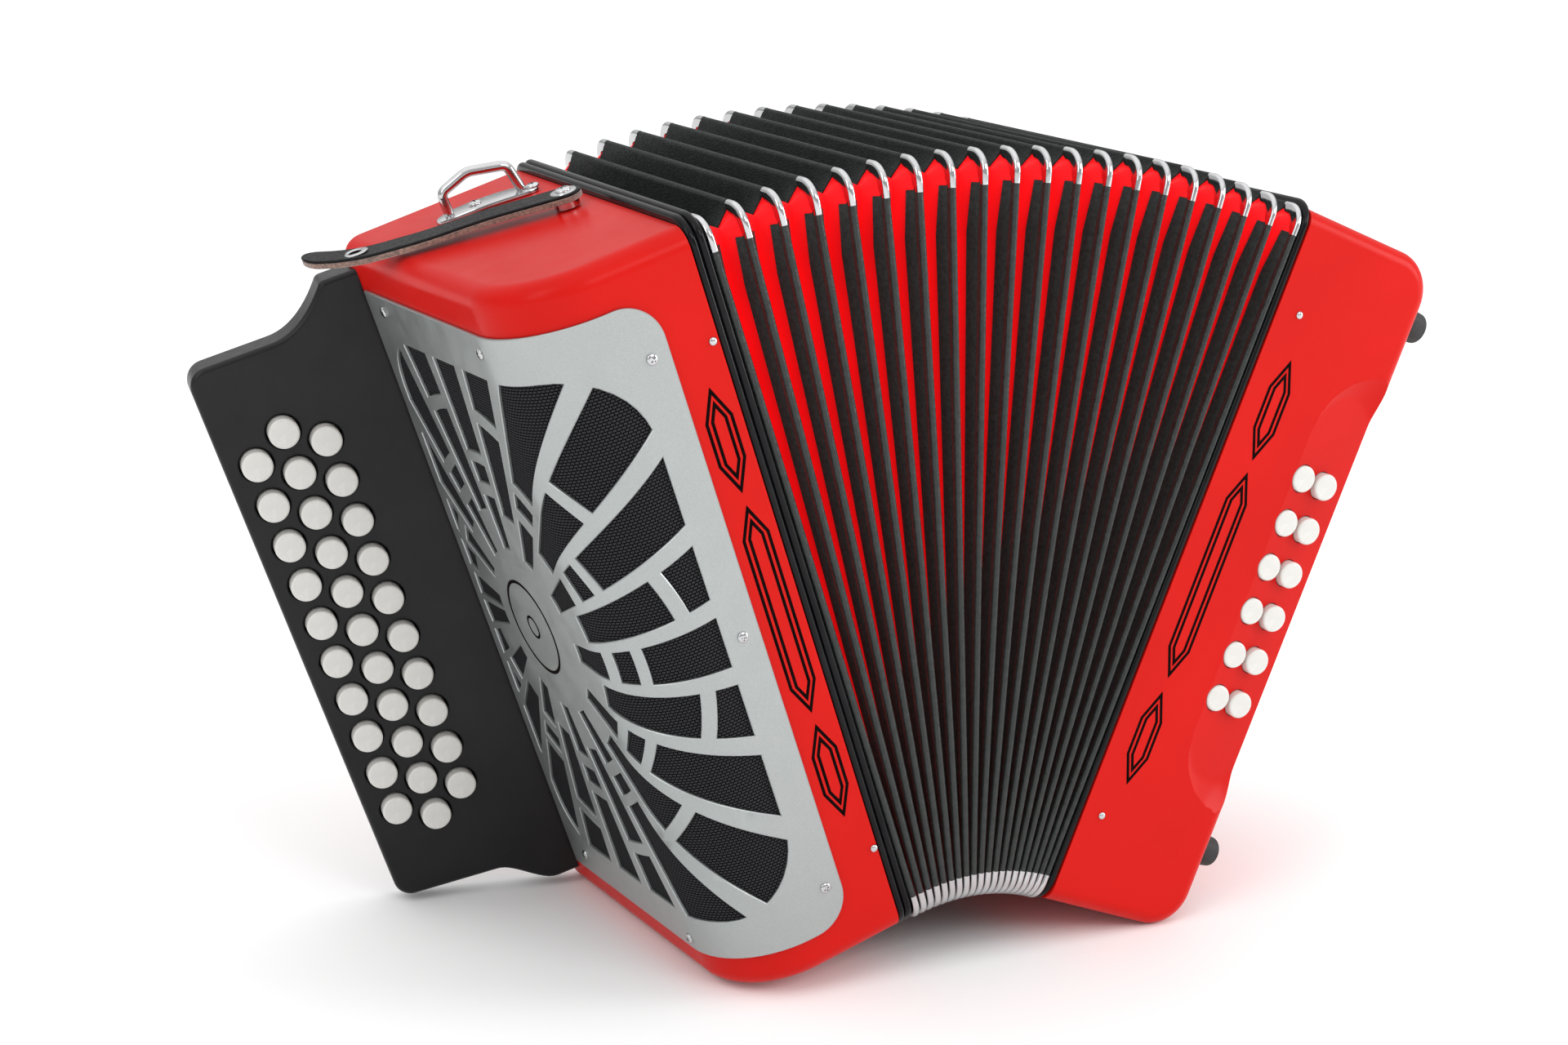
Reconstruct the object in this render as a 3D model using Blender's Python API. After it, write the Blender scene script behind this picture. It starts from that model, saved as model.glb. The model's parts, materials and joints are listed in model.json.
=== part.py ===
"""Three-row button accordion with its bellows fanned open, in metres, +Z up, front towards -Y.

The treble side and the bass side are each modelled upright about their own rig, an empty at the
lower edge of that side's first bellows frame. Along a rig's +X the bass side lies further out,
and the treble side reaches back along its rig's -X. The two rigs lean apart by the fan angle.
"""

import bmesh
import bpy
from math import cos, pi, radians, sin, sqrt
from mathutils import Vector

# The whole instrument
CASE_DEPTH = 0.173          # front to back
HALF_DEPTH = CASE_DEPTH / 2
CASE_FOOT = 0.0015          # the cases start this far above the bellows' lower edge
CASE_TOP = 0.3045
FRAME_HEIGHT = 0.3075       # bellows frames and the black end frames
GAP = 0.0003                # between touching pieces
WALL = 0.0045
TINY = 1e-6
OVERCUT = 0.002             # how far a cutter stands out of what it cuts

# Where the treble rig stands, so that both cases rest on their outer lower edges
TREBLE_TILT = radians(-18.1)
RIG_X = -0.0025
RIG_Y = -0.0041
RIG_Z = 0.0240

# Bellows
FRAME_COUNT = 20
FAN_ANGLE = radians(40.1)
FAN_BULGE = 0.029           # how far the middle frames run ahead of an even fan, in radians
FOLD_PITCH = 0.00297        # along the lower edge, the same as when closed
PITCH_FALL = 0.21           # folds next to the treble are wider than those next to the bass
FOLD_DEPTH = 0.023
FOLD_WALL = 0.008           # measured inwards
BELLOWS_CORNER = 0.009
OUTER_FRAME_HALF = 0.0014   # half the thickness of the first and the last bellows frame

# Black end frames, from and to along X
END_FRAME_RIM = 0.009
END_FRAME_CORNER = 0.011
TREBLE_FRAME = (-0.0086, -0.0018)
BASS_FRAME = (0.0018, 0.0051)

# Treble case
TREBLE_MOUTH = TREBLE_FRAME[0] - GAP
BEND_RADIUS = 0.037         # where the front turns into the side
BEND_X = -0.0465
SIDE_FRONT_X = BEND_X - BEND_RADIUS
SIDE_BACK_X = -0.0890
BACK_CORNER = 0.010
CASE_EDGE = 0.008

# Grille, a bent plate on the front and side of the treble case
GRILLE_LOW = 0.0180
GRILLE_HIGH = 0.2870
GRILLE_FRONT_X = -0.0285
GRILLE_BACK_Y = 0.0640
GRILLE_THICK = 0.0012
GRILLE_CORNER = 0.016
WINDOW_MARGIN = 0.013       # case left under the grille's edge

# Fingerboard, which leans back towards its outer edge
BOARD_TILT = radians(9.0)
BOARD_ROOT = (-0.0885, 0.0682)
BOARD_THICK = 0.016
BOARD_REACH = 0.0775        # along the board, from the case to the outer edge
BOARD_LOW = 0.0290
BOARD_HIGH = 0.2785
NECK_LOW = 0.0125           # the board is taller where it meets the case
NECK_HIGH = 0.2950
NECK_REACH = 0.0110
NECK_CURVE = 0.0250
NECK_FALL = 0.0030          # the neck's top edge falls this much before the curve
NECK_RISE = 0.0010          # and its lower edge rises
BOARD_CORNER = 0.008
ROOT_LEAN = 0.0034          # cuts the root parallel to the case's side

# Treble buttons, in three staggered rows
ROW_COUNTS = (10, 11, 10)
BUTTON_PITCH = 0.01807
ROW_SPACING = 0.01463
MIDDLE_ROW_REACH = 0.0500   # along the board, from the case
BUTTON_MIDDLE = 0.1536
BUTTON_RADIUS = 0.0067
BUTTON_PROUD = 0.0042
BUTTON_LENGTH = 0.0100
BUTTON_TRAVEL = 0.0038
HOLE_CLEARANCE = 0.0008
BUTTON_EASE = 0.0010        # on the rim of each button's face

# Bass case
BASS_MOUTH = BASS_FRAME[1] + GAP
BASS_END = 0.0780
BASS_CORNER = 0.018
BASS_EDGE = 0.007
FRONT_WALL = 0.0115
SCOOP_START = 0.0446
SCOOP_SLOPE = radians(12.5)
SCOOP_LOW = 0.0565
SCOOP_HIGH = 0.2540
SCOOP_CORNER = 0.032

# Bass buttons, two columns of six
BASS_ROWS = 6
BASS_COLUMNS = (0.0503, 0.0630)
BASS_PITCH = 0.01966
BASS_MIDDLE = 0.1538
BASS_BUTTON_RADIUS = 0.0057
BASS_BUTTON_LENGTH = 0.0090
BASS_BUTTON_FACE = -HALF_DEPTH - 0.0004

# Fittings
FOOT_Y = 0.0700
FOOT_HEIGHTS = (0.0375, 0.2790)
FOOT_RADIUS = 0.0075
FOOT_LENGTH = 0.0130
FOOT_TAPER = 0.0010
FOOT_EASE = 0.0015
STRAP_STUD = (-0.0174, -0.0020)
STRAP_HEADING = radians(155.0)
STRAP_HALF_WIDTH = 0.0100
STRAP_THICK = 0.0025
STRAP_LIFT = 0.0034         # over the case's top, so that the strap swings over the end frame
STRAP_LENGTH = 0.1080       # from the stud to the tip
STRAP_TAIL = 0.0300         # the last stretch, which curls up
STRAP_CURL = 0.0050
WASHER_RADIUS = 0.0050
WASHER_PROUD = 0.0010
BRACKET_FEET = ((-0.0520, 0.0470), (-0.0225, 0.0415))
BRACKET_BENDS = ((-0.01, 0.0113), (0.41, 0.0160), (0.92, 0.0135))
WIRE_RADIUS = 0.0023
WIRE_BEND = 0.0040
PLATE_THICK = 0.0015
PLATE_HALF_WIDTH = 0.0080
HAND_STRAP_Y = (0.0150, 0.0650)
HAND_STRAP_Z = (0.0450, 0.2625)
HAND_STRAP_BULGE = 0.0260
HAND_STRAP_THICK = 0.0035
AIR_BUTTON = (-0.0350, 0.2150)
AIR_BUTTON_RADIUS = 0.0080
AIR_BUTTON_PROUD = 0.0060
AIR_BUTTON_LENGTH = 0.0140

# Reed blocks, each on a board set back inside its case's mouth
REED_BOARD = 0.004
REED_BOARD_SET_BACK = 0.0065
REED_BLOCK_Z = (0.0500, 0.2560)
REED_BLOCK_Y = ((-0.0380, -0.0100), (0.0100, 0.0380))
TREBLE_REED_REACH = 0.0150
BASS_REED_REACH = 0.0120

# Colours
CASE_RED = (0.72, 0.018, 0.012)
SATIN_BLACK = (0.012, 0.012, 0.013)
GLOSS_BLACK = (0.008, 0.008, 0.009)
BUTTON_WHITE = (0.80, 0.79, 0.74)
SATIN_SILVER = (0.52, 0.55, 0.55)
CHROME = (0.75, 0.76, 0.77)
LEATHER_BLACK = (0.015, 0.014, 0.014)
RUBBER_BLACK = (0.020, 0.020, 0.021)
REED_WOOD = (0.42, 0.25, 0.12)


def clear_scene():
    for item in list(bpy.data.objects):
        bpy.data.objects.remove(item)


def material(name, colour, roughness, metallic=0.0):
    made = bpy.data.materials.new(name)
    made.use_nodes = True
    shader = made.node_tree.nodes["Principled BSDF"]
    shader.inputs["Base Color"].default_value = (*colour, 1.0)
    shader.inputs["Roughness"].default_value = roughness
    shader.inputs["Metallic"].default_value = metallic
    return made


def empty(name, location, rotation=(0.0, 0.0, 0.0), parent=None):
    made = bpy.data.objects.new(name, None)
    made.empty_display_size = 0.02
    made.location = location
    made.rotation_euler = rotation
    made.parent = parent
    bpy.context.scene.collection.objects.link(made)
    return made


def add_node(name, mesh, parent, surface, location=(0.0, 0.0, 0.0), heading=0.0):
    """One sub-part with its material, turned by heading about its parent's Z."""
    made = bpy.data.objects.new(name, mesh)
    made.location = location
    made.rotation_euler = (0.0, 0.0, heading)
    made.parent = parent
    if not mesh.materials:
        mesh.materials.append(surface)
        mesh.shade_smooth()
        mesh.set_sharp_from_angle(angle=radians(35))
    bpy.context.scene.collection.objects.link(made)
    return made


def add_helper(name, mesh, parent, location=(0.0, 0.0, 0.0), heading=0.0):
    """A shape that only serves a Boolean."""
    made = bpy.data.objects.new(name, mesh)
    made.location = location
    made.rotation_euler = (0.0, 0.0, heading)
    made.parent = parent
    made.hide_render = True
    made.display_type = "WIRE"
    bpy.context.scene.collection.objects.link(made)
    return made


def boolean(target, helper, operation="DIFFERENCE"):
    step = target.modifiers.new(helper.name, "BOOLEAN")
    step.operation = operation
    step.solver = "EXACT"
    step.object = helper


def finish_mesh(shape, name):
    bmesh.ops.recalc_face_normals(shape, faces=shape.faces)
    mesh = bpy.data.meshes.new(name)
    shape.to_mesh(mesh)
    shape.free()
    return mesh


def arc(centre, radius, start, end, steps):
    """Points on a circle from one angle to another, both included, in degrees."""
    points = []
    for step in range(steps + 1):
        angle = radians(start + (end - start) * step / steps)
        points.append((centre[0] + radius * cos(angle), centre[1] + radius * sin(angle)))
    return points


def prism(name, outline, low, high, axis="Z"):
    """An outline pushed along one axis: (x, y) points for Z, (x, z) for Y."""
    shape = bmesh.new()
    ends = []
    for level in (low, high):
        if axis == "Z":
            ends.append([shape.verts.new((a, b, level)) for a, b in outline])
        else:
            ends.append([shape.verts.new((a, level, b)) for a, b in outline])
    shape.faces.new(ends[0])
    shape.faces.new(ends[1])
    for index in range(len(outline)):
        after = (index + 1) % len(outline)
        shape.faces.new((ends[0][index], ends[0][after], ends[1][after], ends[1][index]))
    return finish_mesh(shape, name)


def box(name, low, high):
    outline = [(low[0], low[1]), (high[0], low[1]), (high[0], high[1]), (low[0], high[1])]
    return prism(name, outline, low[2], high[2])


def round_edges(mesh, accepts, radius, steps):
    """Rounds the edges whose two ends the test accepts."""
    shape = bmesh.new()
    shape.from_mesh(mesh)
    chosen = [edge for edge in shape.edges if accepts(edge.verts[0].co, edge.verts[1].co)]
    bmesh.ops.bevel(
        shape, geom=chosen, offset=radius, segments=steps, profile=0.5, affect="EDGES"
    )
    bmesh.ops.recalc_face_normals(shape, faces=shape.faces)
    shape.to_mesh(mesh)
    shape.free()
    return mesh


def turned(name, profile, sides, along):
    """A solid turned about the direction along, from (radius, distance) points."""
    shape = bmesh.new()
    swing = Vector((0.0, 0.0, 1.0)).rotation_difference(Vector(along))
    rings = []
    for radius, distance in profile:
        ring = []
        for side in range(sides):
            angle = 2 * pi * side / sides
            spot = Vector((radius * cos(angle), radius * sin(angle), distance))
            ring.append(shape.verts.new(swing @ spot))
        rings.append(ring)
    shape.faces.new(rings[0])
    shape.faces.new(rings[-1])
    for first, second in zip(rings, rings[1:]):
        for side in range(sides):
            after = (side + 1) % sides
            shape.faces.new((first[side], first[after], second[after], second[side]))
    return finish_mesh(shape, name)


def hollow_stack(name, outer_rings, inner_rings):
    """A wall between two stacks of rings that have the same number of points."""
    shape = bmesh.new()
    outer = [[shape.verts.new(point) for point in ring] for ring in outer_rings]
    inner = [[shape.verts.new(point) for point in ring] for ring in inner_rings]
    count = len(outer[0])
    pairs = list(zip(outer, outer[1:])) + list(zip(inner, inner[1:]))
    pairs += [(outer[0], inner[0]), (outer[-1], inner[-1])]
    for first, second in pairs:
        for index in range(count):
            after = (index + 1) % count
            shape.faces.new((first[index], first[after], second[after], second[index]))
    return finish_mesh(shape, name)


def rounded_rectangle(inset, corner, steps):
    """(y, z) points of a bellows frame's outline, drawn in by the inset."""
    half = HALF_DEPTH - inset - corner
    low = inset + corner
    high = FRAME_HEIGHT - inset - corner
    points = arc((half, high), corner, 0, 90, steps)
    points += arc((-half, high), corner, 90, 180, steps)
    points += arc((-half, low), corner, 180, 270, steps)
    points += arc((half, low), corner, 270, 360, steps)
    return points


def fan_poses():
    """(x, z, lean) of the lower edge of each bellows frame, from treble to bass."""
    poses = []
    x, z = RIG_X, RIG_Z
    for index in range(FRAME_COUNT):
        share = index / (FRAME_COUNT - 1)
        lean = TREBLE_TILT + FAN_ANGLE * share + FAN_BULGE * share * (1 - share)
        if poses:
            middle = (poses[-1][2] + lean) / 2
            half_step = share - 0.5 / (FRAME_COUNT - 1)
            pitch = FOLD_PITCH * (1 + PITCH_FALL * (0.5 - half_step))
            x += pitch * cos(middle)
            z -= pitch * sin(middle)
        poses.append((x, z, lean))
    return poses


def middle_pose(poses):
    """The pose half-way round the fan, between two frames."""
    lean = TREBLE_TILT + FAN_ANGLE / 2
    for first, second in zip(poses, poses[1:]):
        if first[2] <= lean <= second[2]:
            share = (lean - first[2]) / (second[2] - first[2])
            x = first[0] + share * (second[0] - first[0])
            z = first[1] + share * (second[1] - first[1])
            return (x, z, lean)
    return poses[FRAME_COUNT // 2]


def beside(pose, distance):
    """The point at a distance from a pose, square to it."""
    return (pose[0] + distance * cos(pose[2]), pose[1] - distance * sin(pose[2]))


def swing_centre(start, end, turn):
    """The (x, z) point about which a turn about +Y carries start to end."""
    moved_x = start[0] * cos(turn) + start[1] * sin(turn)
    moved_z = -start[0] * sin(turn) + start[1] * cos(turn)
    rest_x = end[0] - moved_x
    rest_z = end[1] - moved_z
    scale = 2 - 2 * cos(turn)
    x = ((1 - cos(turn)) * rest_x + sin(turn) * rest_z) / scale
    z = ((1 - cos(turn)) * rest_z - sin(turn) * rest_x) / scale
    return (x, z)


def treble_skin(start_x, end_y, bend_steps):
    """(x, y, outward x, outward y) along the treble case's front, bend and side."""
    centre_y = -HALF_DEPTH + BEND_RADIUS
    path = [(start_x, -HALF_DEPTH, 0.0, -1.0)]
    for step in range(bend_steps + 1):
        angle = radians(270 - 90 * step / bend_steps)
        x = BEND_X + BEND_RADIUS * cos(angle)
        y = centre_y + BEND_RADIUS * sin(angle)
        path.append((x, y, cos(angle), sin(angle)))
    share = (end_y - centre_y) / (HALF_DEPTH - BACK_CORNER - centre_y)
    end_x = SIDE_FRONT_X + share * (SIDE_BACK_X - SIDE_FRONT_X)
    path.append((end_x, end_y, -1.0, 0.0))
    return path


def treble_outline(inset):
    """The treble case seen from above, drawn in by the inset, open at the mouth."""
    path = treble_skin(TREBLE_MOUTH, HALF_DEPTH - BACK_CORNER, 8)
    points = [(x - inset * across, y - inset * back) for x, y, across, back in path[1:]]
    corner = (SIDE_BACK_X + BACK_CORNER, HALF_DEPTH - BACK_CORNER)
    points += arc(corner, BACK_CORNER - inset, 180, 90, 4)[1:]
    mouth = TREBLE_MOUTH + (OVERCUT if inset else 0.0)
    return [(mouth, -HALF_DEPTH + inset), *points, (mouth, HALF_DEPTH - inset)]


def bent_plate(name, path, limits, inner, outer):
    """A plate that follows the treble skin between two distances outwards from it."""
    shape = bmesh.new()
    sections = []
    for (x, y, across, back), (low, high) in zip(path, limits):
        section = []
        for distance, level in ((inner, low), (outer, low), (outer, high), (inner, high)):
            spot = (x + distance * across, y + distance * back, level)
            section.append(shape.verts.new(spot))
        sections.append(section)
    shape.faces.new(sections[0])
    shape.faces.new(sections[-1])
    for first, second in zip(sections, sections[1:]):
        for index in range(4):
            after = (index + 1) % 4
            shape.faces.new((first[index], first[after], second[after], second[index]))
    return finish_mesh(shape, name)


def add_treble_case(rig, red):
    def on_top_or_bottom(first, second):
        level = abs(first.z - second.z) < TINY
        return level and min(first.x, second.x) < TREBLE_MOUTH - TINY

    mesh = prism("treble_case", treble_outline(0.0), CASE_FOOT, CASE_TOP)
    mesh = round_edges(mesh, on_top_or_bottom, CASE_EDGE, 3)
    case = add_node("treble_case", mesh, rig, red)
    cavity = prism("treble_cavity", treble_outline(WALL), CASE_FOOT + WALL, CASE_TOP - WALL)
    boolean(case, add_helper("treble_cavity", cavity, rig))
    path = treble_skin(GRILLE_FRONT_X - WINDOW_MARGIN, GRILLE_BACK_Y - WINDOW_MARGIN, 8)
    limits = [(GRILLE_LOW + WINDOW_MARGIN, GRILLE_HIGH - WINDOW_MARGIN)] * len(path)
    window = bent_plate("grille_window", path, limits, -2 * WALL, WALL)
    boolean(case, add_helper("grille_window", window, rig))


def add_grille(rig, silver):
    """The plate's two corners next to the bellows are round."""
    path = []
    limits = []
    for step in range(5):
        angle = radians(90 * step / 4)
        inward = GRILLE_CORNER * (1 - cos(angle))
        drop = GRILLE_CORNER * (1 - sin(angle))
        path.append((GRILLE_FRONT_X - inward, -HALF_DEPTH, 0.0, -1.0))
        limits.append((GRILLE_LOW + drop, GRILLE_HIGH - drop))
    rest = treble_skin(GRILLE_FRONT_X, GRILLE_BACK_Y, 8)[1:]
    path += rest
    limits += [(GRILLE_LOW, GRILLE_HIGH)] * len(rest)
    plate = bent_plate("treble_grille", path, limits, GAP, GAP + GRILLE_THICK)
    add_node("treble_grille", plate, rig, silver)


def ease(share):
    """Runs from 0 to 1 with a level start and end."""
    return share * share * (3 - 2 * share)


def board_outline():
    """(x, z) points of the fingerboard, whose root is at x = 0."""
    top = NECK_HIGH - NECK_FALL
    bottom = NECK_LOW + NECK_RISE
    upper = [(0.0, NECK_HIGH), (-NECK_REACH, top)]
    lower = [(0.0, NECK_LOW), (-NECK_REACH, bottom)]
    for step in range(1, 6):
        x = -NECK_REACH - NECK_CURVE * step / 5
        share = ease(step / 5)
        upper.append((x, top + share * (BOARD_HIGH - top)))
        lower.append((x, bottom + share * (BOARD_LOW - bottom)))
    turn = -BOARD_REACH + BOARD_CORNER
    upper += arc((turn, BOARD_HIGH - BOARD_CORNER), BOARD_CORNER, 90, 180, 4)
    lower += arc((turn, BOARD_LOW + BOARD_CORNER), BOARD_CORNER, 270, 180, 4)
    return upper + lower[::-1]


def treble_button_spots():
    """(x, z) of each treble button on the board, row by row from the outer row."""
    spots = []
    for row, count in enumerate(ROW_COUNTS):
        x = -MIDDLE_ROW_REACH + (row - 1) * ROW_SPACING
        for index in range(count):
            level = (count - 1) / 2 - index
            spots.append((x, BUTTON_MIDDLE + level * BUTTON_PITCH))
    return spots


def add_fingerboard(board_rig, black):
    mesh = prism("fingerboard", board_outline(), 0.0, BOARD_THICK, "Y")
    for vertex in mesh.vertices:
        if vertex.co.x > -TINY:
            vertex.co.x -= GAP + ROOT_LEAN * vertex.co.y / BOARD_THICK
    board = add_node("fingerboard", mesh, board_rig, black)
    depth = BUTTON_LENGTH - BUTTON_PROUD + BUTTON_TRAVEL + GAP
    radius = BUTTON_RADIUS + HOLE_CLEARANCE
    hole = turned("button_hole", ((radius, -OVERCUT), (radius, depth)), 16, (0, 1, 0))
    holes = bmesh.new()
    for x, z in treble_button_spots():
        known = len(holes.verts)
        holes.from_mesh(hole)
        holes.verts.ensure_lookup_table()
        bmesh.ops.translate(holes, vec=(x, 0.0, z), verts=holes.verts[known:])
    boolean(board, add_helper("button_holes", finish_mesh(holes, "button_holes"), board_rig))


def add_treble_buttons(board_rig, white):
    profile = (
        (BUTTON_RADIUS - BUTTON_EASE, 0.0),
        (BUTTON_RADIUS, BUTTON_EASE),
        (BUTTON_RADIUS, BUTTON_LENGTH),
    )
    mesh = turned("treble_button", profile, 16, (0, 1, 0))
    for number, (x, z) in enumerate(treble_button_spots(), 1):
        spot = (x, -BUTTON_PROUD, z)
        add_node(f"treble_button_{number:02d}", mesh, board_rig, white, spot)


def add_end_frame(name, rig, span, black):
    outer = []
    inner = []
    for x in span:
        outline = rounded_rectangle(0.0, END_FRAME_CORNER, 4)
        outer.append([(x, y, z) for y, z in outline])
        window = rounded_rectangle(END_FRAME_RIM, END_FRAME_CORNER / 2, 4)
        inner.append([(x, y, z) for y, z in window])
    add_node(name, hollow_stack(name, outer, inner), rig, black)


def bellows_ring(pose, inset, hinge):
    x, z, lean = pose
    points = []
    for y, level in rounded_rectangle(inset, BELLOWS_CORNER, 2):
        along = x + level * sin(lean) - hinge[0]
        up = z + level * cos(lean) - hinge[1]
        points.append((along, RIG_Y + y, up))
    return points


def add_bellows(poses, hinge, parent, black):
    """The folded tube: crests at the frames, valleys half-way between them."""
    outer = []
    inner = []
    for index, pose in enumerate(poses):
        if index:
            before = poses[index - 1]
            valley = [(a + b) / 2 for a, b in zip(before, pose)]
            outer.append(bellows_ring(valley, FOLD_DEPTH - FOLD_WALL, hinge))
            inner.append(bellows_ring(valley, FOLD_DEPTH, hinge))
        if index in (0, FRAME_COUNT - 1):
            side = OUTER_FRAME_HALF if index else -OUTER_FRAME_HALF
            pose = (*beside(pose, side), pose[2])
        outer.append(bellows_ring(pose, 0.0, hinge))
        inner.append(bellows_ring(pose, FOLD_WALL, hinge))
    add_node("bellows", hollow_stack("bellows", outer, inner), parent, black)


def scoop_outline():
    """(x, z) points of the cut, round at its two inner corners."""
    reach = 2 * (BASS_END - SCOOP_START)
    corner = SCOOP_CORNER
    points = arc((corner, SCOOP_HIGH - corner), corner, 90, 180, 6)
    points += arc((corner, SCOOP_LOW + corner), corner, 180, 270, 6)
    return [(reach, SCOOP_HIGH), *points, (reach, SCOOP_LOW)]


def bass_button_spots():
    spots = []
    for x in BASS_COLUMNS:
        for index in range(BASS_ROWS):
            level = (BASS_ROWS - 1) / 2 - index
            spots.append((x, BASS_MIDDLE + level * BASS_PITCH))
    return spots


def add_bass_case(rig, red):
    def far_corner(first, second):
        return min(first.x, second.x) > BASS_END - TINY and abs(first.z - second.z) < TINY

    def front_or_back(first, second):
        same_side = abs(first.y - second.y) < TINY and abs(abs(first.y) - HALF_DEPTH) < TINY
        return same_side and max(first.x, second.x) > BASS_MOUTH + TINY

    low = (BASS_MOUTH, -HALF_DEPTH, CASE_FOOT)
    high = (BASS_END, HALF_DEPTH, CASE_TOP)
    mesh = round_edges(box("bass_case", low, high), far_corner, BASS_CORNER, 5)
    mesh = round_edges(mesh, front_or_back, BASS_EDGE, 3)
    case = add_node("bass_case", mesh, rig, red)
    corner = BASS_CORNER - WALL
    far = BASS_END - WALL - corner
    outline = [(BASS_MOUTH - OVERCUT, CASE_FOOT + WALL)]
    outline += arc((far, CASE_FOOT + WALL + corner), corner, 270, 360, 4)
    outline += arc((far, CASE_TOP - WALL - corner), corner, 0, 90, 4)
    outline.append((BASS_MOUTH - OVERCUT, CASE_TOP - WALL))
    cavity = prism("bass_cavity", outline, FRONT_WALL - HALF_DEPTH, HALF_DEPTH - WALL, "Y")
    boolean(case, add_helper("bass_cavity", cavity, rig))
    scoop = prism("bass_scoop", scoop_outline(), -FRONT_WALL, 0.0, "Y")
    corner_spot = (SCOOP_START, -HALF_DEPTH, 0.0)
    boolean(case, add_helper("bass_scoop", scoop, rig, corner_spot, SCOOP_SLOPE))
    radius = BASS_BUTTON_RADIUS + HOLE_CLEARANCE / 2
    depth = FRONT_WALL + 2 * OVERCUT
    hole = turned("bass_hole", ((radius, 0.0), (radius, depth)), 16, (0, 1, 0))
    holes = bmesh.new()
    for x, z in bass_button_spots():
        known = len(holes.verts)
        holes.from_mesh(hole)
        holes.verts.ensure_lookup_table()
        bmesh.ops.translate(holes, vec=(x, -HALF_DEPTH - OVERCUT, z), verts=holes.verts[known:])
    boolean(case, add_helper("bass_holes", finish_mesh(holes, "bass_holes"), rig))
    radius = AIR_BUTTON_RADIUS + HOLE_CLEARANCE
    depth = WALL + 2 * OVERCUT
    air_hole = turned("air_hole", ((radius, 0.0), (radius, depth)), 20, (-1, 0, 0))
    spot = (BASS_END + OVERCUT, *AIR_BUTTON)
    boolean(case, add_helper("air_hole", air_hole, rig, spot))


def add_bass_buttons(rig, white):
    profile = (
        (BASS_BUTTON_RADIUS - BUTTON_EASE, 0.0),
        (BASS_BUTTON_RADIUS, BUTTON_EASE),
        (BASS_BUTTON_RADIUS, BASS_BUTTON_LENGTH),
    )
    mesh = turned("bass_button", profile, 16, (0, 1, 0))
    for number, (x, z) in enumerate(bass_button_spots(), 1):
        add_node(f"bass_button_{number:02d}", mesh, rig, white, (x, BASS_BUTTON_FACE, z))


def add_air_button(rig, white):
    profile = (
        (AIR_BUTTON_RADIUS - BUTTON_EASE, 0.0),
        (AIR_BUTTON_RADIUS, BUTTON_EASE),
        (AIR_BUTTON_RADIUS, AIR_BUTTON_LENGTH),
    )
    mesh = turned("air_button", profile, 20, (-1, 0, 0))
    add_node("air_button", mesh, rig, white, (BASS_END + AIR_BUTTON_PROUD, *AIR_BUTTON))


def add_feet(rig, rubber):
    profile = (
        (FOOT_RADIUS - FOOT_TAPER - FOOT_EASE, 0.0),
        (FOOT_RADIUS - FOOT_TAPER, FOOT_EASE),
        (FOOT_RADIUS, FOOT_LENGTH),
    )
    mesh = turned("rubber_foot", profile, 16, (-1, 0, 0))
    number = 1
    for y in (-FOOT_Y, FOOT_Y):
        for z in FOOT_HEIGHTS:
            spot = (BASS_END + GAP + FOOT_LENGTH, y, z)
            add_node(f"rubber_foot_{number}", mesh, rig, rubber, spot)
            number += 1


def add_hand_strap(rig, leather):
    """A bowed band from one end of the bass case's end face to the other."""
    inner = []
    outer = []
    steps = 14
    for step in range(steps + 1):
        share = step / steps
        z = HAND_STRAP_Z[0] + share * (HAND_STRAP_Z[1] - HAND_STRAP_Z[0])
        bow = HAND_STRAP_BULGE * (1 - (2 * share - 1) ** 2)
        inner.append((BASS_END + GAP + bow, z))
        outer.append((BASS_END + GAP + bow + HAND_STRAP_THICK, z))
    mesh = prism("hand_strap", inner + outer[::-1], *HAND_STRAP_Y, "Y")
    add_node("hand_strap", mesh, rig, leather)


def strap_half_width(distance):
    """Round at both ends."""
    past = max(0.0, -distance, distance - (STRAP_LENGTH - STRAP_HALF_WIDTH))
    return sqrt(max(STRAP_HALF_WIDTH ** 2 - past ** 2, TINY))


def add_bellows_strap(rig, leather):
    """Turns about its stud, which is this piece's origin."""
    shape = bmesh.new()
    sections = []
    steps = 26
    for step in range(steps + 1):
        distance = -STRAP_HALF_WIDTH + step * (STRAP_LENGTH + STRAP_HALF_WIDTH) / steps
        past = max(0.0, distance - (STRAP_LENGTH - STRAP_TAIL)) / STRAP_TAIL
        low = STRAP_LIFT + STRAP_CURL * past ** 2
        half = strap_half_width(distance)
        section = []
        high = low + STRAP_THICK
        for y, z in ((-half, low), (half, low), (half, high), (-half, high)):
            section.append(shape.verts.new((distance, y, z)))
        sections.append(section)
    shape.faces.new(sections[0])
    shape.faces.new(sections[-1])
    for first, second in zip(sections, sections[1:]):
        for index in range(4):
            after = (index + 1) % 4
            shape.faces.new((first[index], first[after], second[after], second[index]))
    spot = (*STRAP_STUD, CASE_TOP)
    mesh = finish_mesh(shape, "bellows_strap")
    strap = add_node("bellows_strap", mesh, rig, leather, spot, STRAP_HEADING)
    profile = ((WASHER_RADIUS, GAP), (WASHER_RADIUS, STRAP_LIFT + STRAP_THICK + WASHER_PROUD))
    washer = turned("strap_washer", profile, 16, (0, 0, 1))
    boolean(strap, add_helper("strap_washer", washer, rig, spot), "UNION")


def soften(points, reach, steps):
    """Replaces each inner corner of a path by a short curve."""
    smooth = [points[0]]
    for before, corner, after in zip(points, points[1:], points[2:]):
        start = corner + (before - corner).normalized() * reach
        end = corner + (after - corner).normalized() * reach
        for step in range(steps + 1):
            share = step / steps
            first = start.lerp(corner, share)
            smooth.append(first.lerp(corner.lerp(end, share), share))
    smooth.append(points[-1])
    return smooth


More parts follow.
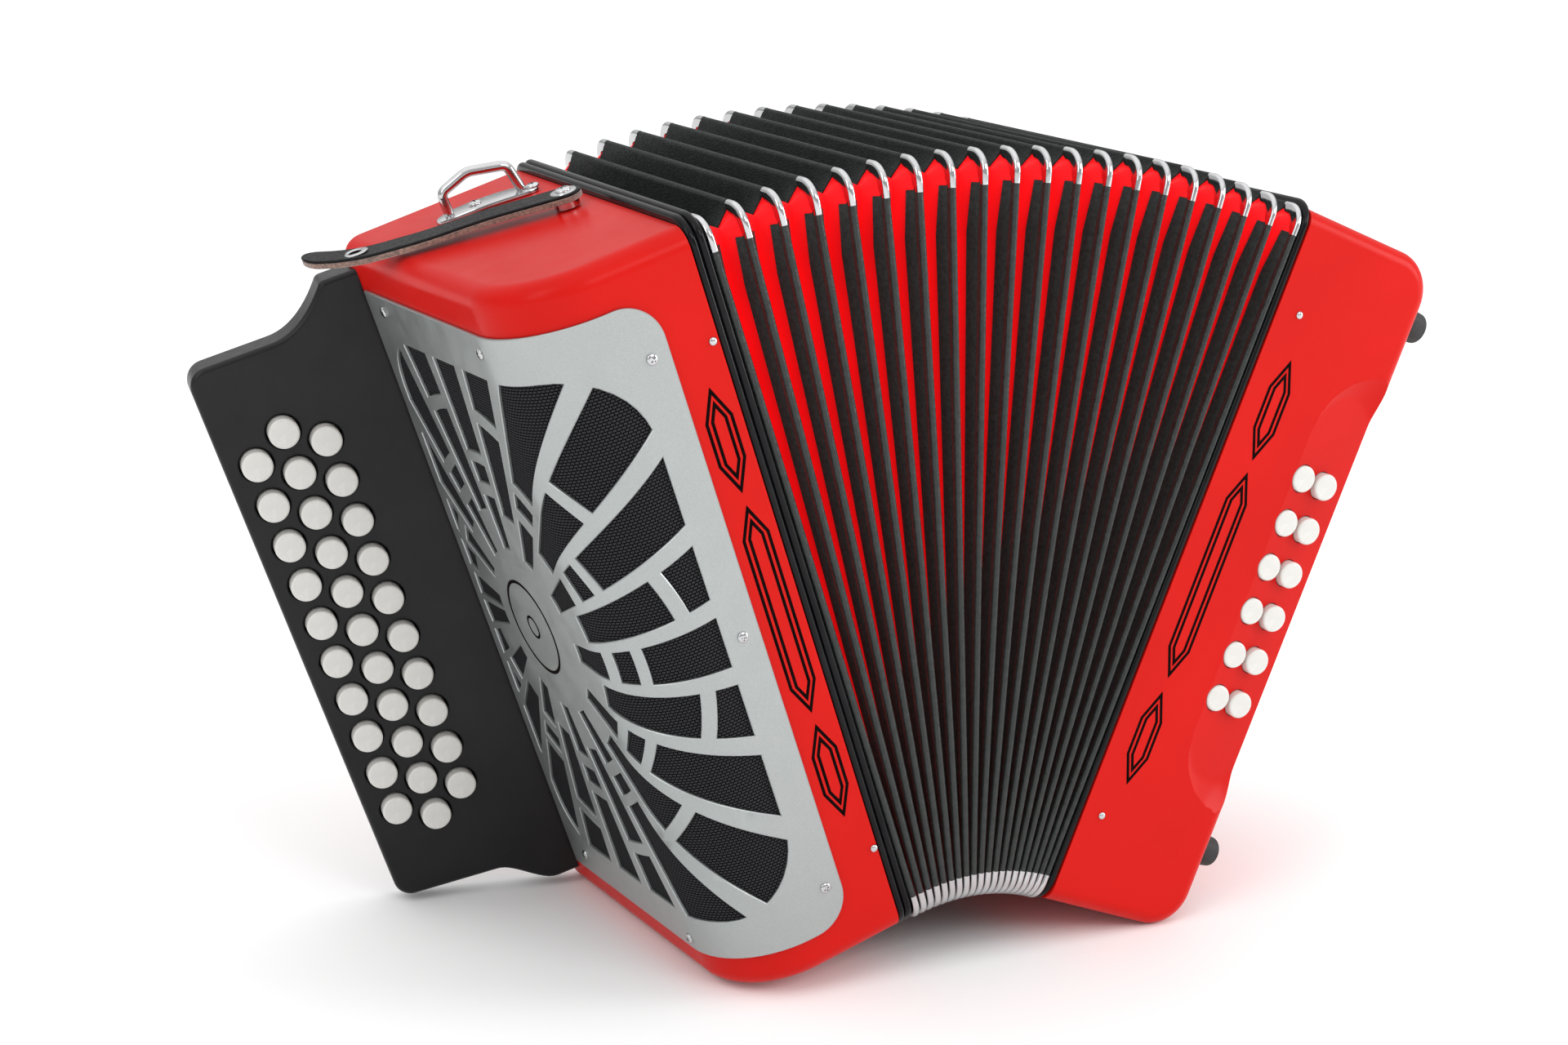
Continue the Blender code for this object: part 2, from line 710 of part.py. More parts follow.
def tube(name, points, radius, sides):
    """A round wire along a path that lies in an upright plane."""
    shape = bmesh.new()
    across = (points[-1] - points[0]).cross(Vector((0.0, 0.0, 1.0))).normalized()
    rings = []
    for index, point in enumerate(points):
        before = points[max(index - 1, 0)]
        after = points[min(index + 1, len(points) - 1)]
        upward = across.cross((after - before).normalized())
        ring = []
        for side in range(sides):
            angle = 2 * pi * side / sides
            spot = point + radius * (cos(angle) * across + sin(angle) * upward)
            ring.append(shape.verts.new(spot))
        rings.append(ring)
    shape.faces.new(rings[0])
    shape.faces.new(rings[-1])
    for first, second in zip(rings, rings[1:]):
        for side in range(sides):
            after = (side + 1) % sides
            shape.faces.new((first[side], first[after], second[after], second[side]))
    return finish_mesh(shape, name)


def add_strap_bracket(rig, steel):
    """A plate on the case's top with a wire loop for a shoulder strap."""
    base = CASE_TOP + GAP
    first = Vector((*BRACKET_FEET[0], base))
    second = Vector((*BRACKET_FEET[1], base))
    along = (second - first).normalized()
    aside = Vector((-along.y, along.x, 0.0))
    outline = []
    for centre, start in ((second, -90), (first, 90)):
        for y, x in arc((0.0, 0.0), PLATE_HALF_WIDTH, start, start + 180, 6):
            spot = centre + y * along + x * aside
            outline.append((spot.x, spot.y))
    plate = prism("strap_bracket", outline, base, base + PLATE_THICK)
    bracket = add_node("strap_bracket", plate, rig, steel)
    up = Vector((0.0, 0.0, 1.0))
    path = [first + up * PLATE_THICK / 3]
    for share, height in BRACKET_BENDS:
        path.append(first.lerp(second, share) + up * height)
    path.append(second + up * PLATE_THICK / 3)
    wire = tube("bracket_wire", soften(path, WIRE_BEND, 3), WIRE_RADIUS, 10)
    boolean(bracket, add_helper("bracket_wire", wire, rig), "UNION")


def add_reed_block(name, rig, mouth, inward, reach, wood):
    """A board across the case and two reed blocks that stand out into the bellows."""
    near = mouth + inward * REED_BOARD_SET_BACK
    far = near + inward * REED_BOARD
    tip = mouth - inward * reach
    side = HALF_DEPTH - FRONT_WALL - GAP if inward > 0 else HALF_DEPTH - WALL - GAP
    edge = CASE_FOOT + WALL + GAP
    top = CASE_TOP - WALL - GAP
    board = box(name, (min(near, far), -side, edge), (max(near, far), side, top))
    block = add_node(name, board, rig, wood)
    for number, (front, back) in enumerate(REED_BLOCK_Y, 1):
        ends = sorted((tip, near + inward * REED_BOARD / 2))
        low = (ends[0], front, REED_BLOCK_Z[0])
        high = (ends[1], back, REED_BLOCK_Z[1])
        part = box(f"{name}_rib_{number}", low, high)
        boolean(block, add_helper(f"{name}_rib_{number}", part, rig), "UNION")


def build():
    clear_scene()
    red = material("case_red", CASE_RED, 0.18)
    black = material("satin_black", SATIN_BLACK, 0.45)
    gloss = material("gloss_black", GLOSS_BLACK, 0.12)
    white = material("button_white", BUTTON_WHITE, 0.35)
    silver = material("satin_silver", SATIN_SILVER, 0.38, 1.0)
    chrome = material("chrome", CHROME, 0.08, 1.0)
    leather = material("black_leather", LEATHER_BLACK, 0.55)
    rubber = material("rubber", RUBBER_BLACK, 0.70)
    wood = material("reed_wood", REED_WOOD, 0.60)
    folds = material("bellows_folds", LEATHER_BLACK, 0.65)

    poses = fan_poses()
    middle = middle_pose(poses)
    half_closed = FOLD_PITCH * (FRAME_COUNT - 1) / 2
    turn = poses[0][2] - middle[2]
    first_hinge = swing_centre(middle[:2], beside(poses[0], half_closed), turn)
    second_hinge = swing_centre(poses[-1][:2], beside(middle, half_closed), turn)

    treble = empty("treble_rig", (RIG_X, RIG_Y, RIG_Z), (0.0, TREBLE_TILT, 0.0))
    bellows_hinge = empty("bellows_hinge", (first_hinge[0], 0.0, first_hinge[1]))
    bass_hinge = empty("bass_hinge", (second_hinge[0], 0.0, second_hinge[1]))
    offset = (poses[-1][0] - second_hinge[0], RIG_Y, poses[-1][1] - second_hinge[1])
    bass = empty("bass_rig", offset, (0.0, poses[-1][2], 0.0), bass_hinge)
    board = empty("board_rig", (*BOARD_ROOT, 0.0), (0.0, 0.0, -BOARD_TILT), treble)

    add_treble_case(treble, red)
    add_grille(treble, silver)
    add_fingerboard(board, black)
    add_treble_buttons(board, white)
    add_end_frame("treble_bellows_frame", treble, TREBLE_FRAME, gloss)
    add_reed_block("treble_reed_block", treble, TREBLE_MOUTH, -1, TREBLE_REED_REACH, wood)
    add_strap_bracket(treble, chrome)
    add_bellows_strap(treble, leather)
    add_bellows(poses, first_hinge, bellows_hinge, folds)
    add_end_frame("bass_bellows_frame", bass, BASS_FRAME, gloss)
    add_bass_case(bass, red)
    add_reed_block("bass_reed_block", bass, BASS_MOUTH, 1, BASS_REED_REACH, wood)
    add_bass_buttons(bass, white)
    add_air_button(bass, white)
    add_feet(bass, rubber)
    add_hand_strap(bass, leather)


build()
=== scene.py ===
"""Looks of the three-row button accordion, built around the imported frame, in metres, +Z up.

Each side is modelled upright in its own rig, as the frame's parts are: +X runs along the bellows
from the treble to the bass, -Y is the front, and the origin is at the lower edge of the bellows.
"""

import json
from math import atan2, ceil, cos, dist, hypot, pi, radians, sin, sqrt, tan

import bmesh
import bpy
from mathutils import Matrix, Vector
from mathutils.geometry import delaunay_2d_cdt


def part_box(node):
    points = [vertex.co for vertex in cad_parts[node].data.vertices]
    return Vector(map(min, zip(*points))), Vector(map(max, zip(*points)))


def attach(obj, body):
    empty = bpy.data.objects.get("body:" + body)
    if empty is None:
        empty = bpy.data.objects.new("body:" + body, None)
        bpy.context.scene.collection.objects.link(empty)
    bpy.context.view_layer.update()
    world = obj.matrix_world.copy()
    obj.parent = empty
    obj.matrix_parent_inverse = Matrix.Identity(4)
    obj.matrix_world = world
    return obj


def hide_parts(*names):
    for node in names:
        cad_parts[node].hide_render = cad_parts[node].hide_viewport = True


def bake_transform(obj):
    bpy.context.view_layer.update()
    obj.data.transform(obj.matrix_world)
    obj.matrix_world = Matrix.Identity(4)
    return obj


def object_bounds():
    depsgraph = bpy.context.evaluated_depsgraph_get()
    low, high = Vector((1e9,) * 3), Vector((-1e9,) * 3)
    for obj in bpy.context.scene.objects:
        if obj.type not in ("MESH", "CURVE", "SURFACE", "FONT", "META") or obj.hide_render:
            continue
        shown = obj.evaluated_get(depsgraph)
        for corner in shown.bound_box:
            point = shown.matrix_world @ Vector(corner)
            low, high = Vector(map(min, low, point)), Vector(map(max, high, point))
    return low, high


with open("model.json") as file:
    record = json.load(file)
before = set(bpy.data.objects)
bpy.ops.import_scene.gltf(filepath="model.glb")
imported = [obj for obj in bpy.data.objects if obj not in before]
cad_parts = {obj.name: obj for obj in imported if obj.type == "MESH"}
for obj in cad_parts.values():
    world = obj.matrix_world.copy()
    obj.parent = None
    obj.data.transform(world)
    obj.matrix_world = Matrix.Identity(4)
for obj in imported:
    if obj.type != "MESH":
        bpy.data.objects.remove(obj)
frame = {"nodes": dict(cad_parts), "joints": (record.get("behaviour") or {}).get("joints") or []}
cad_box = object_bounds()

# Shared with the frame
HALF_DEPTH = 0.0865
CASE_FOOT = 0.0015
CASE_TOP = 0.3045
FRAME_HEIGHT = 0.3075
GAP = 0.0003
WALL = 0.0045
OVERCUT = 0.002             # how far a cutter stands out of what it cuts
UP = Vector((0.0, 0.0, 1.0))
POLE = 0.0001               # a turned end's inmost ring, so that no points coincide
DOME_POLE = 0.00001
MITRE_LEAST = 0.6           # mitres of sharper corners are kept this short
CIRCLE_SIDES = 40
TREBLE_FRAME = (-0.0086, -0.0018)
BASS_FRAME = (0.0018, 0.0051)
END_FRAME_RIM = 0.009
END_FRAME_CORNER = 0.011
END_FRAME_GROOVE = 0.0014   # depth of the grooves between its beads
END_FRAME_BEAD = 0.94       # share of its pitch that a bead fills
PIN_HEAD = (0.00165, 0.0011, 0.0002)    # radius, height and rim
CROSS_HALF = 0.13           # half width and reach of a screw's recess, over the head's radius
CROSS_REACH = 0.55
CROSS_FLOOR = 0.45          # the recess's floor, over the head's height

# Bellows
FRAME_COUNT = 20
FAN_BULGE = 0.029
FOLD_PITCH = 0.00297
PITCH_FALL = 0.21
BELLOWS_CORNER = 0.009
VALLEY_INSET = 0.0165
LINING = 0.0050             # from the cloth's face to its lining
GUSSET_INSET = 0.0078       # the valleys are this deep at the corners
GUSSET_REACH = 0.0220
BELLOWS_HEIGHT = FRAME_HEIGHT - 0.0030
SIDE_PIECES = 18
GUSSET_PIECES = 7
CREST_INSET = 0.0016        # the cloth's crest lies this far inside the bead
CAP_INSET = 0.0040          # and this far inside the corner caps
BEAD_SHARE = 0.47           # of the fold's pitch, either side of a frame
BEAD_DEPTH = 0.0032
TAPE_DEPTH = 0.46           # share of the way down the card that the tape covers
TAPE_LIFT = 0.0006
STRIP_SINK = -0.0002        # the strips' undersides lie this far in the cloth
CAP_LEG = 0.0035
CAP_PROUD = 0.0002
CAP_DEPTH = BEAD_DEPTH + 0.0012
FLAP_STOPS = (0.35, 0.6, 0.92)      # shares of the way down the card
FLAP_ROOT = 0.0045          # how far in the flaps' undersides meet on the rim
FLAP_SHARE = BEAD_SHARE + 0.01
CAP_SHARE = BEAD_SHARE + 0.015
STRIP_START = BELLOWS_CORNER + CAP_LEG - 0.0006     # the strips begin under the corner caps
CORNER_LEAST = 0.0003

# Treble case
TREBLE_MOUTH = TREBLE_FRAME[0] - GAP
BEND_RADIUS = 0.037
BEND_X = -0.0465
SIDE_FRONT_X = BEND_X - BEND_RADIUS
SIDE_BACK_X = -0.0890
BACK_CORNER = 0.010
CASE_EDGE = 0.008
BEND_Y = -HALF_DEPTH + BEND_RADIUS
SIDE_SLOPE = (SIDE_BACK_X - SIDE_FRONT_X) / (HALF_DEPTH - BACK_CORNER - BEND_Y)

# Grille, in distances along the skin from its front edge and heights
GRILLE_LOW = 0.0180
GRILLE_HIGH = 0.2870
GRILLE_FRONT_X = -0.0285
GRILLE_BACK_Y = 0.0640
GRILLE_THICK = 0.0012
GRILLE_CORNER = 0.016
GRILLE_EASE = 0.00035
WINDOW_MARGIN = 0.013
SKIN_FLAT = GRILLE_FRONT_X - BEND_X
SKIN_BEND = SKIN_FLAT + BEND_RADIUS * pi / 2
SKIN_BACK = SKIN_BEND + GRILLE_BACK_Y - BEND_Y
CLOTH_MARGIN = 0.009
CLOTH_BACK = 0.1845
CLOTH_FACES = (0.00005, 0.00020)    # heights of its two faces over the case
HUB = (0.1297, 0.1522)
HUB_SHIFT = 0.0060          # the arcs are drawn about a point this much nearer the front
HUB_RINGS = ((0.0193, 0.0208), (0.0040, 0.0052))    # inner and outer radii
RAY_COUNT = 25
RAY_HALF = radians(5.3)
EVEN_SLOTS = ((0.036, 0.059), (0.065, 0.0735), (0.0785, 0.200))
ODD_SLOTS = ((0.053, 0.095), (0.101, 0.200))
FIELD = (0.0152, 0.1824, 0.0357, 0.2687)
FIELD_CORNER = 0.034
FIELD_BACK_CORNER = 0.022
GRILLE_SCREWS = (
    (0.0077, 0.2653), (0.0075, 0.1511), (0.0071, 0.0365), (0.0756, 0.2801),
    (0.0745, 0.0233), (0.1728, 0.2807), (0.1725, 0.0275),
)
GRILLE_SCREW = (0.00225, 0.0012)    # a screw head's radius and height
GRILLE_SPIN = 37                    # degrees from one screw's recess to the next one's
LEAST_SLOT = 1.5e-5                 # in square metres
LEAST_SIDE = 0.0004
SLOT_SIDE = 0.0045                  # the longest sides of the outlines' meshes
GRILLE_SIDE = 0.0040
GRILLE_MESH = (0.004, 0.009)

# Fingerboard
BOARD_TILT = radians(9.0)
BOARD_ROOT = (-0.0885, 0.0682)
BOARD_THICK = 0.016
BOARD_REACH = 0.0775
BOARD_LOW = 0.0262
BOARD_RAKE = 0.0040
BOARD_HIGH = 0.2785
NECK_LOW = 0.0118
NECK_HIGH = 0.2950
NECK_REACH = 0.0100
NECK_CURVE = 0.0250
SHOULDER_REACH = 0.0170
SHOULDER = 0.0035
BOARD_CORNER = 0.008
BOARD_EASE = 0.0022
ROW_COUNTS = (10, 11, 10)
BUTTON_PITCH = 0.01807
ROW_SPACING = 0.01463
MIDDLE_ROW_REACH = 0.0500
BUTTON_MIDDLE = 0.1536
BUTTON_RADIUS = 0.0063
BUTTON_PROUD = 0.0042
BUTTON_LENGTH = 0.0100
HOLE_RADIUS = BUTTON_RADIUS + 0.0008
HOLE_DEPTH = 0.0099
HOLE_CHAMFER = 0.0005
BOARD_SIDE = 0.006          # the longest side of its outline's mesh
BOARD_MESH = (0.008, 0.010)
BUTTON_RIM = 0.0010
BUTTON_CROWN = 0.00015

# Bass case
BASS_MOUTH = BASS_FRAME[1] + GAP
BASS_END = 0.0780
BASS_CORNER = 0.018
BASS_EDGE = 0.007
FRONT_WALL = 0.0115
SCOOP_START = 0.0446
SCOOP_SLOPE = radians(12.5)
SCOOP_LOW = 0.0565
SCOOP_HIGH = 0.2540
SCOOP_CORNER = 0.032
SCOOP_COVE = 0.030
SCOOP_DEPTH = 0.0085
SCOOP_SPARE = 0.004
SCOOP_MESH = (36, 130)      # steps across and up
BASS_ROWS = 6
BASS_COLUMNS = (0.0503, 0.0630)
BASS_PITCH = 0.01966
BASS_MIDDLE = 0.1538
BASS_BUTTON_RADIUS = 0.0057
BASS_BUTTON_LENGTH = 0.0090
BASS_BUTTON_FACE = -HALF_DEPTH - 0.0004
BASS_BUTTON_CROWN = 0.0001
BASS_BUTTON_GAP = 0.0004

# Fittings
FOOT_Y = 0.0700
FOOT_HEIGHTS = (0.0375, 0.2790)
FOOT_RADIUS = 0.0075
FOOT_LENGTH = 0.0130
FOOT_TAPER = 0.0010
FOOT_ROLL = 0.0018
FOOT_HEEL = 0.0004
STRAP_STUD = (-0.0203, -0.0030)
STRAP_HEADING = radians(155.0)
STRAP_HALF_WIDTH = 0.0068
STRAP_THICK = 0.0032
STRAP_LIFT = 0.0034
STRAP_SAG = 0.0014
STRAP_SAG_SPAN = (0.024, 0.060)
STRAP_LENGTH = 0.1030
STRAP_TAIL = 0.0300
STRAP_CURL = 0.0050
EYELET_REACH = 0.0830
EYELET_HOLE = 0.0033
STRAP_SIDE = 0.004
STRAP_MESH = (0.004, 0.004)
BACKING_SHARE = 0.66        # of the strap's thickness
LAYER_GAP = 0.00003
TOP_EASE = 0.0004
BACKING_EASE = 0.0003
# (radius, height) sections of the strap's fittings
EYELET = ((0.0027, 0.0001), (0.0032, 0.0005), (0.0043, 0.0005), (0.0052, 0.0002), (0.0052, 0.0),
          (0.0027, 0.0))
WASHER = ((0.0015, 0.0), (0.0052, 0.0), (0.0050, 0.0003), (0.0036, 0.0005), (0.0015, 0.0005))
POST = ((0.0042, GAP), (0.0050, GAP + 0.0004), (0.0050, STRAP_LIFT))
STRAP_SCREW = (0.0032, 0.0012)
BRACKET_FEET = (
    Vector((-0.0511, 0.0468, CASE_TOP + GAP)),
    Vector((-0.0214, 0.0413, CASE_TOP + GAP)),
)
BRACKET_SPAN = (BRACKET_FEET[1] - BRACKET_FEET[0]).length
BRACKET_ALONG = (BRACKET_FEET[1] - BRACKET_FEET[0]).normalized()
BRACKET_ASIDE = Vector((-BRACKET_ALONG.y, BRACKET_ALONG.x, 0.0))
BRACKET_BENDS = ((-0.02, 0.0105), (0.38, 0.0152), (0.90, 0.0126))   # share of the way, height
WIRE_RADIUS = 0.0020
WIRE_BEND = 0.0026
PLATE_THICK = 0.0015
PLATE_HALF_WIDTH = 0.0066
PLATE_END = 0.0060
PLATE_BOW = 0.0050
PLATE_SHIFT = 0.0018
PLATE_REACH = BRACKET_SPAN / 2 + PLATE_END
PLATE_CENTRE = BRACKET_FEET[0].lerp(BRACKET_FEET[1], 0.5) - PLATE_SHIFT * BRACKET_ASIDE
PLATE_ANGLES = range(6, 175, 7)
# (inset, height) of its rims
PLATE_LEVELS = ((0.0, 0.0), (0.0, 0.0010), (0.00015, 0.00135), (0.0005, PLATE_THICK))
BRACKET_SCREW = (0.0028, 0.0015)
BRACKET_SCREW_SHARES = (0.36, 1.13)     # of the way from the wire's first foot to its second
HAND_STRAP_Y = (0.0150, 0.0650)
HAND_STRAP_Z = (0.0450, 0.2625)
HAND_STRAP_BULGE = 0.0260
HAND_STRAP_THICK = 0.0035
AIR_BUTTON = (-0.0350, 0.2150)
AIR_BUTTON_RADIUS = 0.0080
AIR_BUTTON_PROUD = 0.0060
AIR_BUTTON_LENGTH = 0.0140
AIR_BUTTON_CROWN = 0.0003
AIR_BUTTON_GAP = 0.0008
PINS = (
    ("treble", -0.0114, 0.2619), ("treble", -0.0104, 0.0416),
    ("bass", 0.0167, 0.2639), ("bass", 0.0149, 0.0430),
)

# Printed ornaments: body, name, place across, lower and upper tip
INK_LEVELS = (0.00002, 0.00008)     # heights of a line's two faces
ORNAMENT_LINE = 0.0013
ORNAMENT_HALF = 0.0052
ORNAMENT_STEP = 0.0024      # from the outer lozenge to the inner one
ORNAMENT_TIP = 2.2          # length of a tip over its half width
ORNAMENTS = (
    ("treble", "treble_upper", -0.0182, 0.2050, 0.2450),
    ("treble", "treble_middle", -0.0182, 0.1100, 0.1970),
    ("treble", "treble_lower", -0.0182, 0.0620, 0.1020),
    ("bass", "bass_upper", 0.0212, 0.2040, 0.2445),
    ("bass", "bass_middle", 0.0212, 0.1080, 0.1960),
    ("bass", "bass_lower", 0.0212, 0.0600, 0.0990),
)

# Studio: each softbox's place, size and power
WORLD_LIGHT = 1.4
WORLD_DARKEST = 0.40
WORLD_UP = (0.0, 0.12, 0.88)        # the world brightens towards this direction
WORLD_RAMP = (0.30, 0.75)
SOFTBOXES = (
    ("left", (-2.2, -1.2, 1.6), (1.0, 1.6), 12.0),
    ("front", (0.6, -2.6, 1.9), (1.6, 1.0), 18.0),
    ("right", (2.4, -1.3, 0.9), (1.0, 1.4), 26.0),
)
FLOOR_SIDE = 80.0

# Camera
CAMERA_PLACE = (-0.5058, -0.9934, 0.4578)
CAMERA_TURN = (69.516, -1.115, -28.440)
CAMERA_LENS = 62.79
CAMERA_SHIFT = (-0.0814, 0.1851)
SENSOR_WIDTH = 36.0
CLIP = (0.01, 50.0)


# ---------------------------------------------------------------- rigs


def joint_axis(name):
    return next(joint["axis"] for joint in frame["joints"] if joint["name"] == name)


def rig_of(node, lean, near):
    """The rig's matrix, from the box of the end frame whose side near the bellows is at x = near."""
    low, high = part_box(node)
    edge = high.x if near < 0 else low.x
    x = edge - near * cos(lean)
    z = high.z + near * sin(lean) - FRAME_HEIGHT * cos(lean)
    middle = Vector((x, (low.y + high.y) / 2, z))
    return Matrix.Translation(middle) @ Matrix.Rotation(lean, 4, "Y")


strap_axis = joint_axis("strap_swing")
air_axis = joint_axis("air_button_press")
TREBLE_LEAN = atan2(strap_axis[0], strap_axis[2])
BASS_LEAN = atan2(air_axis[2], -air_axis[0])
TREBLE = rig_of("treble_bellows_frame", TREBLE_LEAN, TREBLE_FRAME[1])
BASS = rig_of("bass_bellows_frame", BASS_LEAN, BASS_FRAME[0])
BOARD = TREBLE @ Matrix.Translation((*BOARD_ROOT, 0.0)) @ Matrix.Rotation(-BOARD_TILT, 4, "Z")
RIGS = {"treble": TREBLE, "bass": BASS}


def shifted(rig, x, y, z):
    return rig @ Matrix.Translation((x, y, z))


# ---------------------------------------------------------------- mesh code


class Shape:
    """Points and faces, gathered ring by ring."""

    def __init__(self):
        self.points = []
        self.faces = []
        self.weights = []

    def ring(self, points, weight=0.0):
        start = len(self.points)
        self.points += [tuple(point) for point in points]
        self.weights += [weight] * len(points)
        return list(range(start, len(self.points)))

    def bridge(self, first, second, closed=True):
        count = len(first)
        for index in range(count if closed else count - 1):
            after = (index + 1) % count
            self.faces.append((first[index], first[after], second[after], second[index]))

    def loft(self, rings, closed=True, looped=False, ends=False):
        for first, second in zip(rings, rings[1:]):
            self.bridge(first, second, closed)
        if looped:
            self.bridge(rings[-1], rings[0], closed)
        if ends:
            self.cap(rings[0])
            self.cap(rings[-1])

    def cap(self, ring):
        self.faces.append(tuple(ring))

    def mesh(self, name):
        made = bpy.data.meshes.new(name)
        made.from_pydata(self.points, [], self.faces)
        shape = bmesh.new()
        shape.from_mesh(made)
        bmesh.ops.recalc_face_normals(shape, faces=shape.faces)
        shape.to_mesh(made)
        shape.free()
        return made


def arc(centre, radius, start, end, steps):
    """Points on a circle from one angle to another, both included, in degrees."""
    points = []
    for step in range(steps + 1):
        angle = radians(start + (end - start) * step / steps)
        points.append((centre[0] + radius * cos(angle), centre[1] + radius * sin(angle)))
    return points


def circle(centre, radius, sides):
    return arc(centre, radius, 0, 360 - 360 / sides, sides - 1)


def stops(low, high, steps):
    """Evenly spread values, with both ends included."""
    return [low + (high - low) * step / steps for step in range(steps + 1)]


def ease(share):
    return share * share * (3 - 2 * share)


def quarter(radius, steps):
    """(inset, drop) from a face's inset edge, level with the face, to its full outline."""
    angles = [radians(angle) for angle in stops(0, 90, steps)]
    return [(radius * (1 - sin(angle)), radius * (1 - cos(angle))) for angle in angles]


def rolled_levels(low, high, edge, steps):
    """(inset, level) from one rounded rim to the other."""
    roll = quarter(edge, steps)
    levels = [(inset, low + drop) for inset, drop in roll]
    return levels + [(inset, high - drop) for inset, drop in reversed(roll)]


def even(points, most):
    """A closed outline with no side longer than most."""
    spread = []
    for point, after in zip(points, points[1:] + points[:1]):
        pieces = max(1, ceil(dist(point, after) / most))
        for piece in range(pieces):
            share = piece / pieces
            spread.append((point[0] + share * (after[0] - point[0]),
                           point[1] + share * (after[1] - point[1])))
    return spread


def signed_area(points):
    total = 0.0
    for a, b in zip(points, points[1:] + points[:1]):
        total += a[0] * b[1] - b[0] * a[1]
    return total / 2


def offset(points, distance):
    """A closed outline grown by a distance, with mitred corners."""
    turn = 1.0 if signed_area(points) > 0 else -1.0
    grown = []
    for before, point, after in zip(points[-1:] + points[:-1], points, points[1:] + points[:1]):
        first = (Vector(point) - Vector(before)).normalized()
        second = (Vector(after) - Vector(point)).normalized()
        normal_one = Vector((first.y, -first.x)) * turn
        normal_two = Vector((second.y, -second.x)) * turn
        mitre = normal_one + normal_two
        length = distance * 2 / max(mitre.length_squared, MITRE_LEAST)
        grown.append((point[0] + mitre.x * length, point[1] + mitre.y * length))
    return grown


def pierced(outline, holes, spacing):
    """Triangles of a flat sheet with holes: (points, triangles, loops of the outline and holes)."""
    points = [Vector(point) for point in outline]
    loops = [list(range(len(points)))]
    for hole in holes:
        start = len(points)
        points += [Vector(point) for point in hole]
        loops.append(list(range(start, len(points))))
    low = [min(point[axis] for point in outline) for axis in (0, 1)]
    high = [max(point[axis] for point in outline) for axis in (0, 1)]
    counts = [int((high[axis] - low[axis]) / spacing[axis]) for axis in (0, 1)]
    for column in range(1, counts[0]):
        for row in range(1, counts[1]):
            points.append(Vector((low[0] + column * (high[0] - low[0]) / counts[0],
                                  low[1] + row * (high[1] - low[1]) / counts[1])))
    out, _, triangles, origins, _, owners = delaunay_2d_cdt(points, [], loops, 0, 1e-6, True)
    kept = [face for face, owner in zip(triangles, owners) if list(owner) == [0]]
    place = {}
    for index, known in enumerate(origins):
        for number in known:
            place[number] = index
    loops = [[place[number] for number in loop] for loop in loops]
    return [tuple(point) for point in out], kept, loops


def drop_loose(mesh):
    shape = bmesh.new()
    shape.from_mesh(mesh)
    loose = [vertex for vertex in shape.verts if not vertex.link_faces]
    bmesh.ops.delete(shape, geom=loose, context="VERTS")
    shape.to_mesh(mesh)
    shape.free()
    return mesh


def turned(name, profile, sides, along=(0, 1, 0), closed=False):
    """A solid turned about the direction along, from (radius, distance) points.

    A closed profile is the section of a ring.
    """
    swing = UP.rotation_difference(Vector(along))
    shape = Shape()
    rings = []
    for radius, distance in profile:
        points = circle((0.0, 0.0), radius, sides)
        rings.append(shape.ring([swing @ Vector((x, y, distance)) for x, y in points]))
    shape.loft(rings, looped=closed, ends=not closed)
    return shape.mesh(name)


def swept(name, path, section, up):
    """A closed section of (aside, up) points carried along a path."""
    shape = Shape()
    rings = []
    for index, point in enumerate(path):
        before = path[max(index - 1, 0)]
        after = path[min(index + 1, len(path) - 1)]
        ahead = (after - before).normalized()
        square = (up - up.dot(ahead) * ahead).normalized()
        aside = ahead.cross(square)
        rings.append(shape.ring([point + a * aside + b * square for a, b in section]))
    shape.loft(rings, ends=True)
    return shape.mesh(name)


def stacked(name, sections, axis):
    """A solid through (outline, level) sections, which lie across the axis."""
    shape = Shape()
    rings = []
    for outline, level in sections:
        if axis == "Z":
            rings.append(shape.ring([(a, b, level) for a, b in outline]))
        else:
            rings.append(shape.ring([(a, level, b) for a, b in outline]))
    shape.loft(rings, ends=True)
    return shape.mesh(name)


def prism(name, outline, low, high, axis="Z"):
    return stacked(name, [(outline, low), (outline, high)], axis)


def rolled_shell(name, outline, low, high, edge, axis):
    """A solid with rounded rims at both ends of an axis; outline(inset) gives its section."""
    levels = rolled_levels(low, high, edge, 8)
    return stacked(name, [(outline(inset), level) for inset, level in levels], axis)


def bore(name, radius, length, along=(0, 1, 0)):
    return turned(name, [(radius, 0.0), (radius, length)], 32, along)


def linked(name, data):
    made = bpy.data.objects.new(name, data)
    bpy.context.scene.collection.objects.link(made)
    return made


def cut(mesh, cutters):
    """The mesh less each cutter, by exact Booleans, all in the same coordinates."""
    target = linked(mesh.name, mesh)
    helpers = []
    for cutter in cutters:
        helpers.append(linked(cutter.name, cutter))
        step = target.modifiers.new(cutter.name, "BOOLEAN")
        step.operation = "DIFFERENCE"
        step.solver = "EXACT"
        step.object = helpers[-1]
    graph = bpy.context.evaluated_depsgraph_get()
    done = bpy.data.meshes.new_from_object(target.evaluated_get(graph), depsgraph=graph)
    for item in (target, *helpers):
        bpy.data.objects.remove(item)
    return done


def placed(mesh, matrix):
    moved = mesh.copy()
    moved.transform(matrix)
    return moved


def joined(name, meshes):
    shape = bmesh.new()
    for mesh in meshes:
        shape.from_mesh(mesh)
    made = bpy.data.meshes.new(name)
    shape.to_mesh(made)
    shape.free()
    return made


def shown(name, mesh, surface, sharp):
    if not mesh.materials:
        mesh.materials.append(SURFACES[surface])
    mesh.shade_smooth()
    mesh.set_sharp_from_angle(angle=radians(sharp))
    return linked(name, mesh)


def labelled(nodes):
    """Hides the imported parts that a shown piece replaces."""
    if nodes:
        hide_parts(*nodes)


